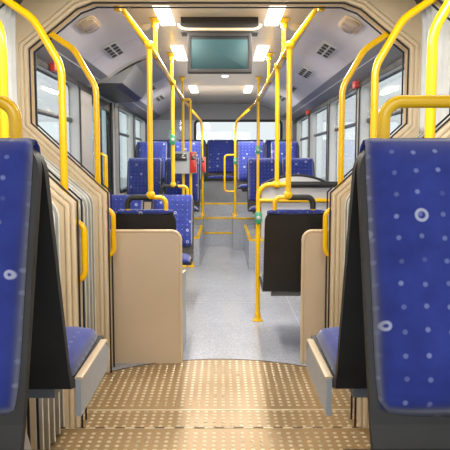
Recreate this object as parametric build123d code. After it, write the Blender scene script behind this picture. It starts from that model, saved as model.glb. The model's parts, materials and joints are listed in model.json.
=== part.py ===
from build123d import *
import math
import os

# Saloon of an articulated city bus: the whole rear car, the turntable gangway
# and the tail of the fore car with its axle. +Y runs rearwards, +Z up, and X
# is positive on the street side. Heights are above the ground, lengths along
# the bus are first counted from the turntable's pivot.

# Car bodies
WIDTH = 2550
WALL = 90
FLOOR_Z = 370
FLOOR_THICK = 40
SKIRT_Z = 230
SILL_UP = 870
WINDOW_TOP_UP = 1870
PANE_RADIUS = 60
PILLAR = 110
GUTTER_UP = 1990
CEILING_UP = 2170
ROOF_TALL = 360
ROOF_RADIUS = 320
ROOF_SHELL = 60
LINING = 12
COVE_IN = 620
COVE_OUT = 1000
COVE_SAG = 18
COVE_OUT_DROP = 195
COVE_LOW_DROP = 275
FORE_END = -2330
REAR_OVERHANG = 2500
TAIL_WALL = 80
TAIL_RADIUS = 120
TAIL_LAMP = 14
TAIL_LAMP_R = 58
TAIL_LAMP_IN = 155
TAIL_LAMP_Z = 820
TAIL_LAMP_PITCH = 140
SEAT_GAP = 0.3
RUN_GAP = 8

# Gangway rings: half widths and heights above the floor
PORTAL_Y = 730
PORTAL_THICK = 100
RING_THICK = 80
RING_LOW = 690
RING_HIGH = 1110
RING_HAUNCH = 810
RING_CROWN = 700
KNEE_UP = 1020
ELBOW_UP = 1410
SHOULDER_UP = 1870
HAUNCH_UP = 2110
CROWN_UP = 2150
RING_OUTER = 1215
RING_TOP_UP = 2330
RING_CORNER = 230

# Bellows and side lining between the rings
BELLOWS_MID = 1165
BELLOWS_TOP_UP = 2235
BELLOWS_CORNER = 260
CORNER_CHORDS = 4
BELLOWS_BASE_Z = 300
PLEAT = 45
CLOTH = 8
FOLDS = 8
LINING_PLEAT = 14
LINING_OUT = 30

# Turntable under the gangway
PLATE_RADIUS = 985
PLATE_THICK = 12
PLATE_SPLIT = 5
SEAM_Y = -46
CARRIER_THICK = 22
CARRIER_WIDTH = 120
BOSS_RADIUS = 140
UPPER_FRAME_Z = 288
UPPER_FRAME_TOP_Z = 330
LOWER_FRAME_Z = 222
BEARING_RADIUS = 290
BEARING_THICK = 18
ARM_ROOT = 430
JOINT_CROSS_Y = 1040
CROSS_HALF = 35

# Wheels and axles
TYRE_RADIUS = 478
TYRE_WIDTH = 272
TWIN_GAP = 48
TYRE_OUT = 1245
RIM_RADIUS = 286
HUB_RADIUS = 130
STUB_RADIUS = 60
STUB_FIT = 0.05
FORE_AXLE_Y = -1500
ARCH_GAP = 54
ARCH_SHELL = 20
ARCH_SIDE_GAP = 63
WEB_IN = 175
AXLE_BEAM_Z = 262
AXLE_BEAM = 88
DROP_BLOCK = 110

# Door in the kerb side of the rear car
DOOR_Y0 = 3100
DOOR_LONG = 1300
DOOR_TO_AXLE = 1000
DOOR_TOP_UP = 1880
DOOR_THICK = 40
DOOR_AXIS_IN = 50
DOOR_AXIS_EDGE = 28
DOOR_STILE = 75
DOOR_COVER_OVER = 60

# Seats
SEATS_ABREAST = 2
BENCH_SEATS = 5
BENCH_GAP = 8
SHELL_THICK = 16
PAD_THICK = 48
CUSHION_UP = 450
ARCH_CUSHION_UP = 720
HIGH_CUSHION_UP = 950
BENCH_CUSHION = 430
CUSHION_LONG = 415
BACK_LOW = 460
BACK_TALL = 540
BACK_LEAN = 0.33
BACK_TO_BACK = 235
BEAM_DEEP = 30
SKIRT_DEEP = 130
SKIRT_THICK = 14
PLINTH_UP = 520
PLINTH_HALF = 200
PLINTH_RADIUS = 120

# Rails and small fittings
RAIL_R = 17
GRIP_R = 14
GRIP_UP = 90
GRIP_LONG = 240
POLE_X = 430
OVERHEAD_UP = 1930
HANDLE_OUT = 80
RAILS_Y0 = 1000
RAIL_BEND_LONG = 1550
RAIL_END_DROP = 150
RAIL_END_OUT = 170
RAIL_END_LONG = 240
STAIR_POLE_AHEAD = 80
PANEL_THICK = 20
PARTITION_Y = 905
PARTITION_UP = 810
PARTITION_RADIUS = 55
PARTITION_KERB_X = 232
PARTITION_STREET_X = 500
REST_Y = 1960
REST_X = 290
REST_UP = 1050
REST_LOW_UP = 930
REST_PANEL_X = 850
REST_PANEL_UP = 1120
SCREEN_BEHIND = 120
BOX_POLE_X = -345
SCREEN_UP = 1780
SCREEN_SILL_UP = 760
MONITOR_Y = 1440
MONITOR_UP = 1810
MONITOR_TALL = 260
MONITOR_HALF = 213

# Raised rear floor
STEP_UP = 200
STEP_GOING = 220
STEPS = 2
ENGINE_BAY = 1080
ENGINE_END = 200
ENGINE_LOW_Z = 300
ENGINE_FOOT = 40
PODIUM_UP = 600
PLATFORM_UP = 350
PLATFORM_KERB_X = 250
PLATFORM_STREET_X = 320
PLATFORM_AHEAD = 1100
SIDE_BLOCK_UP = 450
STAIR_LEFT = -250
STAIR_RIGHT = 170
ENGINE_HALF = 470

# Rear end
REAR_PANE_X0 = -430
REAR_PANE_X1 = 1000
REAR_PANE_LOW_UP = 1500
REAR_PANE_TOP_UP = 1900
FLAP_HALF = 900
FLAP_Z0 = 560
FLAP_Z1 = 1500
FLAP_GROOVE = 10
LOUVRES = 7
LOUVRE_PITCH = 55
LOUVRE_HALF = 540
BUMPER_Z = 290
BUMPER_TALL = 200


# Sizes that follow from those above
HALF = WIDTH / 2
INSIDE = HALF - WALL
ARCH_IN = TYRE_OUT - 2 * TYRE_WIDTH - TWIN_GAP - ARCH_SIDE_GAP
WEB_X = TYRE_OUT - WEB_IN
BEAM_X = ARCH_IN - ARCH_SHELL - 50
DOOR_Y1 = DOOR_Y0 + DOOR_LONG
REAR_AXLE_Y = DOOR_Y1 + DOOR_TO_AXLE
TAIL = REAR_AXLE_Y + REAR_OVERHANG
SCREEN_Y = DOOR_Y1 + SCREEN_BEHIND
PLATFORM_KERB_Y = SCREEN_Y + PANEL_THICK
PLATFORM_STREET_Y = REAR_AXLE_Y - PLATFORM_AHEAD
AXLE_Z = TYRE_RADIUS
ARCH_RADIUS = TYRE_RADIUS + ARCH_GAP
GUTTER_Z = FLOOR_Z + GUTTER_UP
CEILING_Z = FLOOR_Z + CEILING_UP
ROOF_Z = CEILING_Z + ROOF_TALL
SILL_Z = FLOOR_Z + SILL_UP
WINDOW_TOP_Z = FLOOR_Z + WINDOW_TOP_UP
PORTAL_BACK = PORTAL_Y + PORTAL_THICK
PODIUM_Y = TAIL - ENGINE_BAY
STEP_Y = PODIUM_Y - STEPS * STEP_GOING
STAIR_POLE_Y = STEP_Y - STAIR_POLE_AHEAD
RAILS_Y1 = STAIR_POLE_Y - RAIL_BEND_LONG
TAIL_INNER = TAIL - TAIL_WALL
SIDE_END = TAIL - TAIL_RADIUS - TAIL_WALL / 2
ARM_REACH = JOINT_CROSS_Y - CROSS_HALF - SEAT_GAP
TO_ORIGIN = Pos(0, -(FORE_END + TAIL + SEAT_GAP + TAIL_LAMP) / 2, 0)

nodes = {}


def slab(x0, x1, y0, y1, z0, z1):
    centre = Pos((x0 + x1) / 2, (y0 + y1) / 2, (z0 + z1) / 2)
    return centre * Box(abs(x1 - x0), abs(y1 - y0), abs(z1 - z0))


def face(points):
    return make_face(Polyline(*points, close=True))


def along_y(shape, y0, y1):
    return Pos(0, y0, 0) * extrude(Plane.XZ * shape, amount=-(y1 - y0))


def along_x(shape, x0, x1):
    return Pos(x0, 0, 0) * extrude(Plane.YZ * shape, amount=x1 - x0)


def rod(start, end, radius):
    line = Line(start, end)
    return sweep(Plane(start, z_dir=line % 0) * Circle(radius), path=line)


def tube(points, radius, bend):
    path = FilletPolyline(*points, radius=bend)
    return sweep(Plane(points[0], z_dir=path % 0) * Circle(radius), path=path)


def mirrored(shape):
    return mirror(shape, about=Plane.YZ)


def both_sides(shapes):
    return list(shapes) + [mirrored(one) for one in shapes]


# Cross-sections, drawn in X and Z


def body_outline(inset=0):
    half = HALF - inset
    outline = face([(-half, SKIRT_Z), (half, SKIRT_Z), (half, ROOF_Z - inset), (-half, ROOF_Z - inset)])
    top = outline.vertices().sort_by(Axis.Y)[-2:]
    return fillet(top, ROOF_RADIUS - inset)


def ring_opening(foot_z):
    half = [
        (RING_LOW, foot_z),
        (RING_LOW, FLOOR_Z + KNEE_UP),
        (RING_HIGH, FLOOR_Z + ELBOW_UP),
        (RING_HIGH, FLOOR_Z + SHOULDER_UP),
        (RING_HAUNCH, FLOOR_Z + HAUNCH_UP),
        (RING_CROWN, FLOOR_Z + CROWN_UP),
    ]
    return face(half + [(-x, z) for x, z in reversed(half)])


def hoop(half_width, top_z, corner, foot_z):
    outline = face([(-half_width, foot_z), (half_width, foot_z), (half_width, top_z), (-half_width, top_z)])
    return fillet(outline.vertices().sort_by(Axis.Y)[-2:], corner)


# Gangway


def portal(y0):
    frame = body_outline() - ring_opening(SKIRT_Z - 1)
    return along_y(frame, y0, y0 + PORTAL_THICK)


def mid_ring():
    foot = FLOOR_Z + SEAT_GAP
    frame = hoop(RING_OUTER, FLOOR_Z + RING_TOP_UP, RING_CORNER, foot) - ring_opening(foot - 1)
    return along_y(frame, -RING_THICK / 2, RING_THICK / 2)


def bellows_outline(grow, foot_z):
    """Inverted U whose corners are short chords of an arc."""
    half = BELLOWS_MID + grow
    top = FLOOR_Z + BELLOWS_TOP_UP + grow
    radius = BELLOWS_CORNER + grow
    right = [(half, foot_z)]
    for i in range(CORNER_CHORDS + 1):
        turn = math.radians(90 * i / CORNER_CHORDS)
        right.append((half - radius + radius * math.cos(turn), top - radius + radius * math.sin(turn)))
    return face(right + [(-x, z) for x, z in reversed(right)])


def pleated_hoop(y0, y1, grow, overrun=0):
    sections = []
    for i in range(2 * FOLDS + 1):
        wave = PLEAT if i % 2 else -PLEAT
        y = y0 + (y1 - y0) * i / (2 * FOLDS)
        if i == 0:
            y -= overrun
        if i == 2 * FOLDS:
            y += overrun
        outline = bellows_outline(wave + grow, BELLOWS_BASE_Z - overrun)
        sections.append(Plane(origin=(0, y, 0), x_dir=(1, 0, 0), z_dir=(0, -1, 0)) * outline)
    return loft(sections, ruled=True)


def side_lining(y0, y1):
    top = (RING_HIGH, FLOOR_Z + ELBOW_UP - LINING_OUT)
    knee = (RING_LOW, FLOOR_Z + KNEE_UP)
    foot = (RING_LOW, FLOOR_Z + RUN_GAP)
    sections = []
    for i in range(2 * FOLDS + 1):
        wave = LINING_OUT + (LINING_PLEAT if i % 2 else 0)
        y = y0 + (y1 - y0) * i / (2 * FOLDS)
        near = [(x + wave, z) for x, z in (foot, knee, top)]
        far = [(x + CLOTH, z) for x, z in reversed(near)]
        sections.append(Plane(origin=(0, y, 0), x_dir=(1, 0, 0), z_dir=(0, -1, 0)) * face(near + far))
    return loft(sections, ruled=True)


def bellows(y0, y1):
    skin = pleated_hoop(y0, y1, CLOTH / 2) - pleated_hoop(y0, y1, -CLOTH / 2, overrun=1)
    side = side_lining(y0, y1)
    return [skin, side, mirrored(side)]


def turntable_plate():
    disc = Pos(0, 0, FLOOR_Z - PLATE_THICK / 2) * Cylinder(PLATE_RADIUS, PLATE_THICK)
    reach = PLATE_RADIUS + 1
    fore = disc - slab(-reach, reach, SEAM_Y - PLATE_SPLIT / 2, reach, 0, ROOF_Z)
    rear = disc - slab(-reach, reach, -reach, SEAM_Y + PLATE_SPLIT / 2, 0, ROOF_Z)
    return [fore, rear]


def plate_carrier():
    top = FLOOR_Z - PLATE_THICK - SEAT_GAP
    reach = PLATE_RADIUS + RUN_GAP
    beam = slab(-reach, reach, -CARRIER_WIDTH / 2, CARRIER_WIDTH / 2, top - CARRIER_THICK, top)
    end = slab(reach - 1, RING_OUTER, -RING_THICK / 2, RING_THICK / 2, top - CARRIER_THICK, FLOOR_Z)
    boss_z = UPPER_FRAME_TOP_Z + SEAT_GAP
    boss = Pos(0, 0, (boss_z + top) / 2) * Cylinder(BOSS_RADIUS, top - boss_z)
    return Part() + [beam, end, mirrored(end), boss]


def joint_arm(side, z0, z1):
    arm = face([(-BEARING_RADIUS * 0.7, 0), (BEARING_RADIUS * 0.7, 0),
                (ARM_ROOT, side * ARM_REACH), (-ARM_ROOT, side * ARM_REACH)])
    disc = Pos(0, 0, z0) * extrude(Circle(BEARING_RADIUS), amount=z1 - z0)
    slots = extrude(Pos(0, side * ARM_REACH * 0.62, z0 - 1) * Circle(150), amount=z1 - z0 + 2)
    return disc + Pos(0, 0, z0) * extrude(arm, amount=z1 - z0) - slots


def upper_joint_frame():
    bearing_z = UPPER_FRAME_Z - BEARING_THICK
    bearing = Pos(0, 0, bearing_z) * extrude(Circle(BEARING_RADIUS * 0.93), amount=BEARING_THICK)
    return joint_arm(1, UPPER_FRAME_Z, UPPER_FRAME_TOP_Z) + bearing


def lower_joint_frame():
    return joint_arm(-1, LOWER_FRAME_Z, UPPER_FRAME_Z - BEARING_THICK - SEAT_GAP)


def ring_rails(y):
    """A bent rail and a D handle on each side of one gangway ring."""
    rail_x = RING_LOW + 5
    slope = (ELBOW_UP - KNEE_UP) / (RING_HIGH - RING_LOW)
    rail = tube([
        (rail_x, y, FLOOR_Z + KNEE_UP + (5 + RAIL_R) * slope + SEAT_GAP),
        (rail_x, y, FLOOR_Z + SHOULDER_UP - 230),
        (rail_x + 120, y, FLOOR_Z + SHOULDER_UP - 22),
        (RING_HIGH - 125, y, FLOOR_Z + SHOULDER_UP + 92.5),
    ], RAIL_R, 160)
    face_x = RING_LOW - SEAT_GAP
    grip = tube([
        (face_x - 7, y, FLOOR_Z + 970),
        (face_x - HANDLE_OUT, y, FLOOR_Z + 930),
        (face_x - HANDLE_OUT, y, FLOOR_Z + 700),
        (face_x - 7, y, FLOOR_Z + 660),
    ], RAIL_R * 0.8, 45)
    plates = Part() + [slab(face_x - 6, face_x, y - 22, y + 22, FLOOR_Z + z - 45, FLOOR_Z + z + 45)
                       for z in (660, 970)]
    return both_sides([rail, grip + plates])


# Car structure


def floor_slab(y0, y1, axle_y):
    plate = slab(-INSIDE, INSIDE, y0, y1, FLOOR_Z - FLOOR_THICK + SEAT_GAP, FLOOR_Z)
    disc = Pos(0, 0, FLOOR_Z) * Cylinder(PLATE_RADIUS + RUN_GAP, 3 * FLOOR_THICK)
    portals = slab(-HALF, HALF, -PORTAL_BACK - SEAT_GAP, PORTAL_BACK + SEAT_GAP, 0, ROOF_Z)
    centre = slab(-RING_LOW, RING_LOW, -ROOF_Z, ROOF_Z, 0, ROOF_Z)
    wells = [slab(side * ARCH_IN, side * HALF, axle_y - ARCH_RADIUS, axle_y + ARCH_RADIUS, 0, ROOF_Z)
             for side in (-1, 1)]
    return plate - disc - (portals - centre) - wells


def side_wall(side, y0, y1, windows, axle_y, door=None):
    x0, x1 = sorted((side * INSIDE, side * HALF))
    wall = slab(x0, x1, y0, y1, SKIRT_Z, GUTTER_Z)
    for first, last in windows:
        pane = face([(first, SILL_Z), (last, SILL_Z), (last, WINDOW_TOP_Z), (first, WINDOW_TOP_Z)])
        wall -= along_x(fillet(pane.vertices(), PANE_RADIUS), x0 - 1, x1 + 1)
    if axle_y is not None:
        wall -= along_x(Pos(axle_y, AXLE_Z) * Circle(ARCH_RADIUS), x0 - 1, x1 + 1)
    if door:
        wall -= slab(x0 - 1, x1 + 1, door[0], door[1], FLOOR_Z, FLOOR_Z + DOOR_TOP_UP)
    return wall


def panes(side, windows):
    x1 = side * (HALF - 2)
    x0 = side * (HALF - 8)
    made = []
    for first, last in windows:
        low, high = SILL_Z + SEAT_GAP, WINDOW_TOP_Z - SEAT_GAP
        a, b = first + SEAT_GAP, last - SEAT_GAP
        pane = fillet(face([(a, low), (b, low), (b, high), (a, high)]).vertices(), PANE_RADIUS - SEAT_GAP)
        made.append(along_x(pane, min(x0, x1), max(x0, x1)))
    return made


def roof(y0, y1):
    arch = body_outline() - body_outline(ROOF_SHELL)
    below = face([(-WIDTH, 0), (WIDTH, 0), (WIDTH, GUTTER_Z + SEAT_GAP), (-WIDTH, GUTTER_Z + SEAT_GAP)])
    return along_y(arch - below, y0, y1)


def cove_face():
    """Curved lining from the flat ceiling down to the band over the windows."""
    inner = COVE_IN + SEAT_GAP
    wall_x = INSIDE - SEAT_GAP
    curves = []
    for lift in (0, LINING):
        start = (inner, CEILING_Z + lift)
        end = (COVE_OUT, CEILING_Z - COVE_OUT_DROP + lift)
        middle = ((start[0] + end[0]) / 2 + COVE_SAG, (start[1] + end[1]) / 2 + COVE_SAG)
        foot = (wall_x, CEILING_Z - COVE_LOW_DROP + lift)
        curves += [ThreePointArc(start, middle, end), Line(end, foot)]
    ends = [Line((x, z), (x, z + LINING))
            for x, z in ((inner, CEILING_Z), (wall_x, CEILING_Z - COVE_LOW_DROP))]
    return make_face(curves + ends)


def ceiling(y0, y1, kerb_stretches):
    flat = slab(-COVE_IN, COVE_IN, y0, y1, CEILING_Z, CEILING_Z + LINING)
    street = along_y(cove_face(), y0, y1)
    kerb = [mirrored(along_y(cove_face(), a, b)) for a, b in kerb_stretches]
    return [flat, street] + kerb


def arch_boxes(axle_y):
    outer = ARCH_RADIUS + ARCH_SHELL
    base = FLOOR_Z + SEAT_GAP
    above = face([(axle_y - 2 * outer, base), (axle_y + 2 * outer, base),
                  (axle_y + 2 * outer, ROOF_Z), (axle_y - 2 * outer, ROOF_Z)])
    arc = (Pos(axle_y, AXLE_Z) * Circle(outer)) & above
    hollow = Pos(axle_y, AXLE_Z) * Circle(ARCH_RADIUS)
    box = along_x(arc, ARCH_IN - ARCH_SHELL, INSIDE - SEAT_GAP)
    box -= along_x(hollow, ARCH_IN, HALF)
    return both_sides([box])


def chassis(y0, y1, axle_y, cross_places):
    top = FLOOR_Z - FLOOR_THICK
    beams = [slab(x - 40, x + 40, y0, y1, top - 90, top) for x in (-BEAM_X, BEAM_X)]
    crosses = []
    for y, reach in cross_places:
        crosses.append(slab(-reach, reach, y - CROSS_HALF, y + CROSS_HALF, top - 60, top))
    frame = Part() + beams + crosses
    gap = slab(-HALF, HALF, axle_y - 130, axle_y + 130, AXLE_BEAM_Z - AXLE_BEAM, AXLE_BEAM_Z + 60)
    return frame - gap


# Cross-members under the floors: place along the bus and half length
REAR_CROSSES = [(y, INSIDE) for y in (
    JOINT_CROSS_Y, DOOR_Y0 - 700, DOOR_Y1 - 700, REAR_AXLE_Y - 650, REAR_AXLE_Y + 650, PODIUM_Y - 30)]
FORE_CROSSES = [(FORE_END + 130, INSIDE), (-JOINT_CROSS_Y, BEAM_X + 40)]

# Running gear


def tyre(x_mid):
    half = TYRE_WIDTH / 2
    bead = half - 26
    shoulder = TYRE_RADIUS - 36
    profile = face([
        (-bead, RIM_RADIUS), (bead, RIM_RADIUS), (half, (RIM_RADIUS + shoulder) / 2), (half - 12, shoulder),
        (half - 40, TYRE_RADIUS), (40 - half, TYRE_RADIUS), (12 - half, shoulder),
        (-half, (RIM_RADIUS + shoulder) / 2),
    ])
    ring = revolve(Plane.XY * profile, axis=Axis.X)
    return Pos(x_mid, 0, AXLE_Z) * ring


def wheel_disc():
    """Hub with its pressed discs, dished inwards for the twin fitting."""
    inner = TYRE_OUT - 2 * TYRE_WIDTH - TWIN_GAP
    lip = RIM_RADIUS - SEAT_GAP
    profile = face([
        (inner + 24, lip - 26), (TYRE_OUT - 24, lip - 26), (TYRE_OUT - 24, lip), (inner + 24, lip),
    ])
    barrel = revolve(Plane.XY * profile, axis=Axis.X)
    web_x = WEB_X
    web = face([
        (web_x, STUB_RADIUS + STUB_FIT), (web_x + 14, STUB_RADIUS + STUB_FIT), (web_x + 14, 190),
        (web_x + 44, lip - 20), (web_x + 30, lip - 20), (web_x, 196),
    ])
    disc = revolve(Plane.XY * web, axis=Axis.X)
    hub = face([
        (inner + 60, STUB_RADIUS + STUB_FIT), (web_x + 1, STUB_RADIUS + STUB_FIT),
        (web_x + 1, HUB_RADIUS), (inner + 60, HUB_RADIUS),
    ])
    cap = face([
        (web_x + 13, 0), (web_x + 105, 0), (web_x + 105, 62), (web_x + 80, 88), (web_x + 13, 96),
    ])
    boss = revolve(Plane.XY * hub, axis=Axis.X)
    nose = revolve(Plane.XY * cap, axis=Axis.X)
    wheel = Part() + [barrel, disc, boss, nose]
    for i in range(8):
        hole = Pos(web_x + 20, 0, 0) * Rot(X=45 * i) * Pos(0, 225, 0) * Rot(Y=90) * Cylinder(26, 90)
        wheel -= hole
    return Pos(0, 0, AXLE_Z) * wheel


def twin_tyres():
    outer = TYRE_OUT - TYRE_WIDTH / 2
    inner = outer - TYRE_WIDTH - TWIN_GAP
    return [tyre(outer), tyre(inner)]


def drop_axle(driven):
    """Cranked beam that passes under the low floor, with its stubs and air springs."""
    end_x = ARCH_IN - ARCH_SHELL - 6
    beam = slab(-end_x, end_x, -70, 70, AXLE_BEAM_Z - AXLE_BEAM / 2, AXLE_BEAM_Z + AXLE_BEAM / 2)
    low = AXLE_BEAM_Z - AXLE_BEAM / 2
    block = slab(end_x - DROP_BLOCK, end_x, -95, 95, low, FLOOR_Z - FLOOR_THICK - 8)
    knuckle = slab(ARCH_IN + 4, ARCH_IN + 30, -100, 100, low, AXLE_Z + 90)
    bridge = slab(end_x - 10, ARCH_IN + 10, -70, 70, low, FLOOR_Z - FLOOR_THICK - 8)
    stub_end = WEB_X + 10
    stub_start = ARCH_IN + 20
    stub = rod((stub_start, 0, AXLE_Z), (stub_end, 0, AXLE_Z), STUB_RADIUS)
    parts = both_sides([block, knuckle, bridge, stub]) + [beam]
    if driven:
        parts.append(Pos(120, 0, AXLE_BEAM_Z) * Rot(Y=90) * Cylinder(58, 190))
    return Part() + parts


# Fixed fittings of the saloon


def partition(x_in, x_out, y):
    """Transverse panel behind a portal, with its top corner on the aisle rounded."""
    low, high = FLOOR_Z + SEAT_GAP, FLOOR_Z + PARTITION_UP
    sheet = face([(x_in, low), (x_out, low), (x_out, high), (x_in, high)])
    corner = sheet.vertices().sort_by(Axis.Y)[-2:].sort_by(Axis.X)
    pick = corner[-1] if x_in > x_out else corner[0]
    return along_y(fillet([pick], PARTITION_RADIUS), y, y + PANEL_THICK)


def seat_side(x, up0, up1):
    """Side panel between a partition and the front edge of the seats behind it."""
    y0 = PARTITION_Y + PANEL_THICK + SEAT_GAP
    y1 = y0 + CUSHION_LONG + 60
    base = FLOOR_Z + SEAT_GAP
    sheet = face([(y0, base), (y1, base), (y1 + 40, FLOOR_Z + up1), (y0, FLOOR_Z + up0)])
    return along_x(sheet, min(x, x + SKIRT_THICK), max(x, x + SKIRT_THICK))


def seat_skirt(row):
    """Panel along the aisle side of a raised row's pans."""
    side, y, facing, up, edge, wall_gap, between, tall = row
    x = SEAT_GAP - edge
    top = FLOOR_Z + up - PAD_THICK + 10
    way = FACINGS[facing]
    out = CUSHION_LONG + 6
    sheet = face([
        (way * 10, top - 30), (way * (out - 40), top - 30), (way * out, top - 60),
        (way * out, top - SKIRT_DEEP + 20), (way * (out - 40), top - SKIRT_DEEP),
        (way * 10, top - SKIRT_DEEP),
    ])
    panel = Pos(0, y, 0) * along_x(sheet, x, x + SKIRT_THICK)
    return panel if SIDES[side] < 0 else mirrored(panel)


def seat_plinth(row, axle_y):
    """Rounded box beside the wheel arch that carries back-to-back seats."""
    edge = row[4] + SKIRT_THICK
    base = FLOOR_Z + SEAT_GAP
    top = FLOOR_Z + PLINTH_UP
    sheet = face([(axle_y - PLINTH_HALF, base), (axle_y + PLINTH_HALF, base),
                  (axle_y + PLINTH_HALF, top), (axle_y - PLINTH_HALF, top)])
    rounded = fillet(sheet.vertices().sort_by(Axis.Y)[-2:], PLINTH_RADIUS)
    box = along_x(rounded, edge, ARCH_IN - ARCH_SHELL - SEAT_GAP)
    return box if SIDES[row[0]] > 0 else mirrored(box)


def seat_shell(width, tall):
    """Moulded pan and back of one seat facing +Y, its cushion's top at zero."""
    pan = -PAD_THICK
    lean = tall * BACK_LEAN
    t = SHELL_THICK
    profile = face([
        (CUSHION_LONG, pan - 14), (CUSHION_LONG, pan - 14 - t), (30, pan - 32 - t), (-36, pan - 14 - t),
        (-64, pan + 34), (-lean - 62, tall - 18), (-lean - 44, tall), (-lean - 34, tall - 6),
        (-44, pan + 40), (-24, pan), (34, pan - 32),
    ])
    shell = along_x(profile, -width / 2, width / 2)
    crest = face([(-width, -PAD_THICK * 3), (width, -PAD_THICK * 3), (width, tall + 9), (-width, tall + 9)])
    rounded = hoop(width / 2, tall + 8, 70, -PAD_THICK * 3)
    return shell - along_y(crest - rounded, -tall, CUSHION_LONG / 4)


def shell_front(up, tall):
    """Front face of a shell's back, plus the seat gap, at a height over the cushion."""
    run = tall * BACK_LEAN - 10
    return -44 - (up + PAD_THICK - 40) * run / (tall + PAD_THICK - 46) + SEAT_GAP * 1.1


def seat_pads(width, tall):
    lean = tall * BACK_LEAN
    w = width - 24
    top = tall - 12
    cushion = face([(CUSHION_LONG - 6, -PAD_THICK - 10), (CUSHION_LONG + 6, -30), (CUSHION_LONG - 30, 0),
                    (10, -14), (20, -PAD_THICK - 24), (40, -PAD_THICK - 28)])
    back = face([(shell_front(12, tall), 12), (shell_front(top, tall), top), (-lean + 8, top - 6), (22, 14)])
    return [along_x(cushion, -w / 2, w / 2), along_x(back, -w / 2, w / 2)]


def place_seat(shape, x, y, z, facing):
    turn = Rot(Z=0 if facing == "aft" else 180)
    return Pos(x, y, z) * turn * shape


SIDES = {"kerb": -1, "street": 1}
FACINGS = {"fore": -1, "aft": 1}

FRONT_ROW_Y = 1310
FACING_ROW_Y = DOOR_Y0 - 340
ARCH_ROW_Y = REAR_AXLE_Y - 420
HIGH_ROW_Y = REAR_AXLE_Y + 390

# Double seats: side, back's foot along the bus, facing, cushion height above
# the floor, aisle edge from the middle, gap to the wall, gap between the two,
# height of the back
FORE_SEATS = [
    ("kerb", FORE_AXLE_Y + BACK_TO_BACK, "aft", ARCH_CUSHION_UP, 371, 16, 8, BACK_TALL),
    ("street", FORE_AXLE_Y + BACK_TO_BACK, "aft", ARCH_CUSHION_UP, 305, 16, 8, BACK_TALL),
    ("kerb", FORE_AXLE_Y - BACK_TO_BACK, "fore", ARCH_CUSHION_UP, 371, 16, 8, BACK_TALL),
    ("street", FORE_AXLE_Y - BACK_TO_BACK, "fore", ARCH_CUSHION_UP, 305, 16, 8, BACK_TALL),
]
REAR_SEATS = [
    ("kerb", FRONT_ROW_Y, "aft", CUSHION_UP, 275, 65, 65, BACK_LOW),
    ("street", FRONT_ROW_Y, "aft", CUSHION_UP, 285, 55, 65, BACK_LOW),
    ("kerb", FACING_ROW_Y, "fore", CUSHION_UP, 240, 100, 65, BACK_LOW),
    ("kerb", ARCH_ROW_Y, "fore", ARCH_CUSHION_UP, 260, 15, 30, BACK_TALL),
    ("street", ARCH_ROW_Y, "fore", ARCH_CUSHION_UP, 330, 11, 8, BACK_TALL),
    ("kerb", HIGH_ROW_Y, "fore", HIGH_CUSHION_UP, 260, 15, 30, BACK_TALL),
    ("street", HIGH_ROW_Y, "fore", HIGH_CUSHION_UP, 220, 105, 60, BACK_TALL),
]
BENCH_Y = TAIL - 540
BENCH_UP = PODIUM_UP + BENCH_CUSHION


def seat_places(rows):
    """Centre of every seat: x, y, cushion height, facing, width, back height."""
    places = []
    for side, y, facing, up, edge, wall_gap, between, tall in rows:
        width = (INSIDE - wall_gap - edge - (SEATS_ABREAST - 1) * between) / SEATS_ABREAST
        for i in range(SEATS_ABREAST):
            x = SIDES[side] * (edge + width / 2 + i * (width + between))
            places.append((x, y, FLOOR_Z + up, facing, width, tall))
    return places


def bench_places():
    pitch = 2 * (INSIDE - BENCH_GAP) / BENCH_SEATS
    return [(i * pitch - INSIDE + BENCH_GAP + pitch / 2, BENCH_Y, FLOOR_Z + BENCH_UP, "fore",
             pitch - BENCH_GAP, BACK_TALL) for i in range(BENCH_SEATS)]


def shells(places):
    return [place_seat(seat_shell(w, tall), x, y, z, f) for x, y, z, f, w, tall in places]


def pads(places):
    made = []
    for x, y, z, f, w, tall in places:
        made += [place_seat(one, x, y, z, f) for one in seat_pads(w, tall)]
    return made


def seat_frames(rows):
    """Crossbeam from the wall under each row, on a foot at the aisle."""
    made = []
    for side, y, facing, up, edge, wall_gap, between, tall in rows:
        y_mid = y + FACINGS[facing] * 60
        top = FLOOR_Z + up - PAD_THICK - 32 - SHELL_THICK - SEAT_GAP
        x_wall = SIDES[side] * (INSIDE - SEAT_GAP)
        x_end = SIDES[side] * (60 + edge)
        beam = slab(x_wall, x_end, y_mid - 30, y_mid + 30, top - BEAM_DEEP, top)
        if up == CUSHION_UP and facing == "fore":
            foot_x = x_end + SIDES[side] * 60
            beam += slab(foot_x, foot_x + SIDES[side] * 45, y_mid - 25, y_mid + 25,
                         FLOOR_Z + SEAT_GAP, top - BEAM_DEEP + 1)
        made.append(beam)
    return made


def bench_box():
    """Closed front and top under the rear bench, up to its pans."""
    edge = INSIDE - SEAT_GAP
    top = FLOOR_Z + BENCH_UP - PAD_THICK - 32 - SHELL_THICK - SEAT_GAP
    base = FLOOR_Z + PODIUM_UP + SEAT_GAP
    outer = slab(-edge, edge, BENCH_Y - CUSHION_LONG + 60, BENCH_Y, base, top)
    return outer - slab(-edge - 1, edge + 1, BENCH_Y - CUSHION_LONG + 85, BENCH_Y + 1, base - 1, top - 25)




def window_row(y0, y1, count):
    """First and last edge of each window between two ends, with pillars between."""
    pitch = (y1 - y0 + PILLAR) / count
    return [(y0 + i * pitch, y0 + (i + 1) * pitch - PILLAR) for i in range(count)]


KERB_WINDOWS_FRONT = window_row(PORTAL_BACK + 470, DOOR_Y0 - 500, 1)
KERB_WINDOWS_REAR = window_row(DOOR_Y1 + 240, TAIL - 600, 2)
STREET_WINDOWS = window_row(PORTAL_BACK + 350, TAIL - 600, 4)
FORE_WINDOWS = window_row(FORE_END + 100, -PORTAL_BACK - 190, 1)

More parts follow.
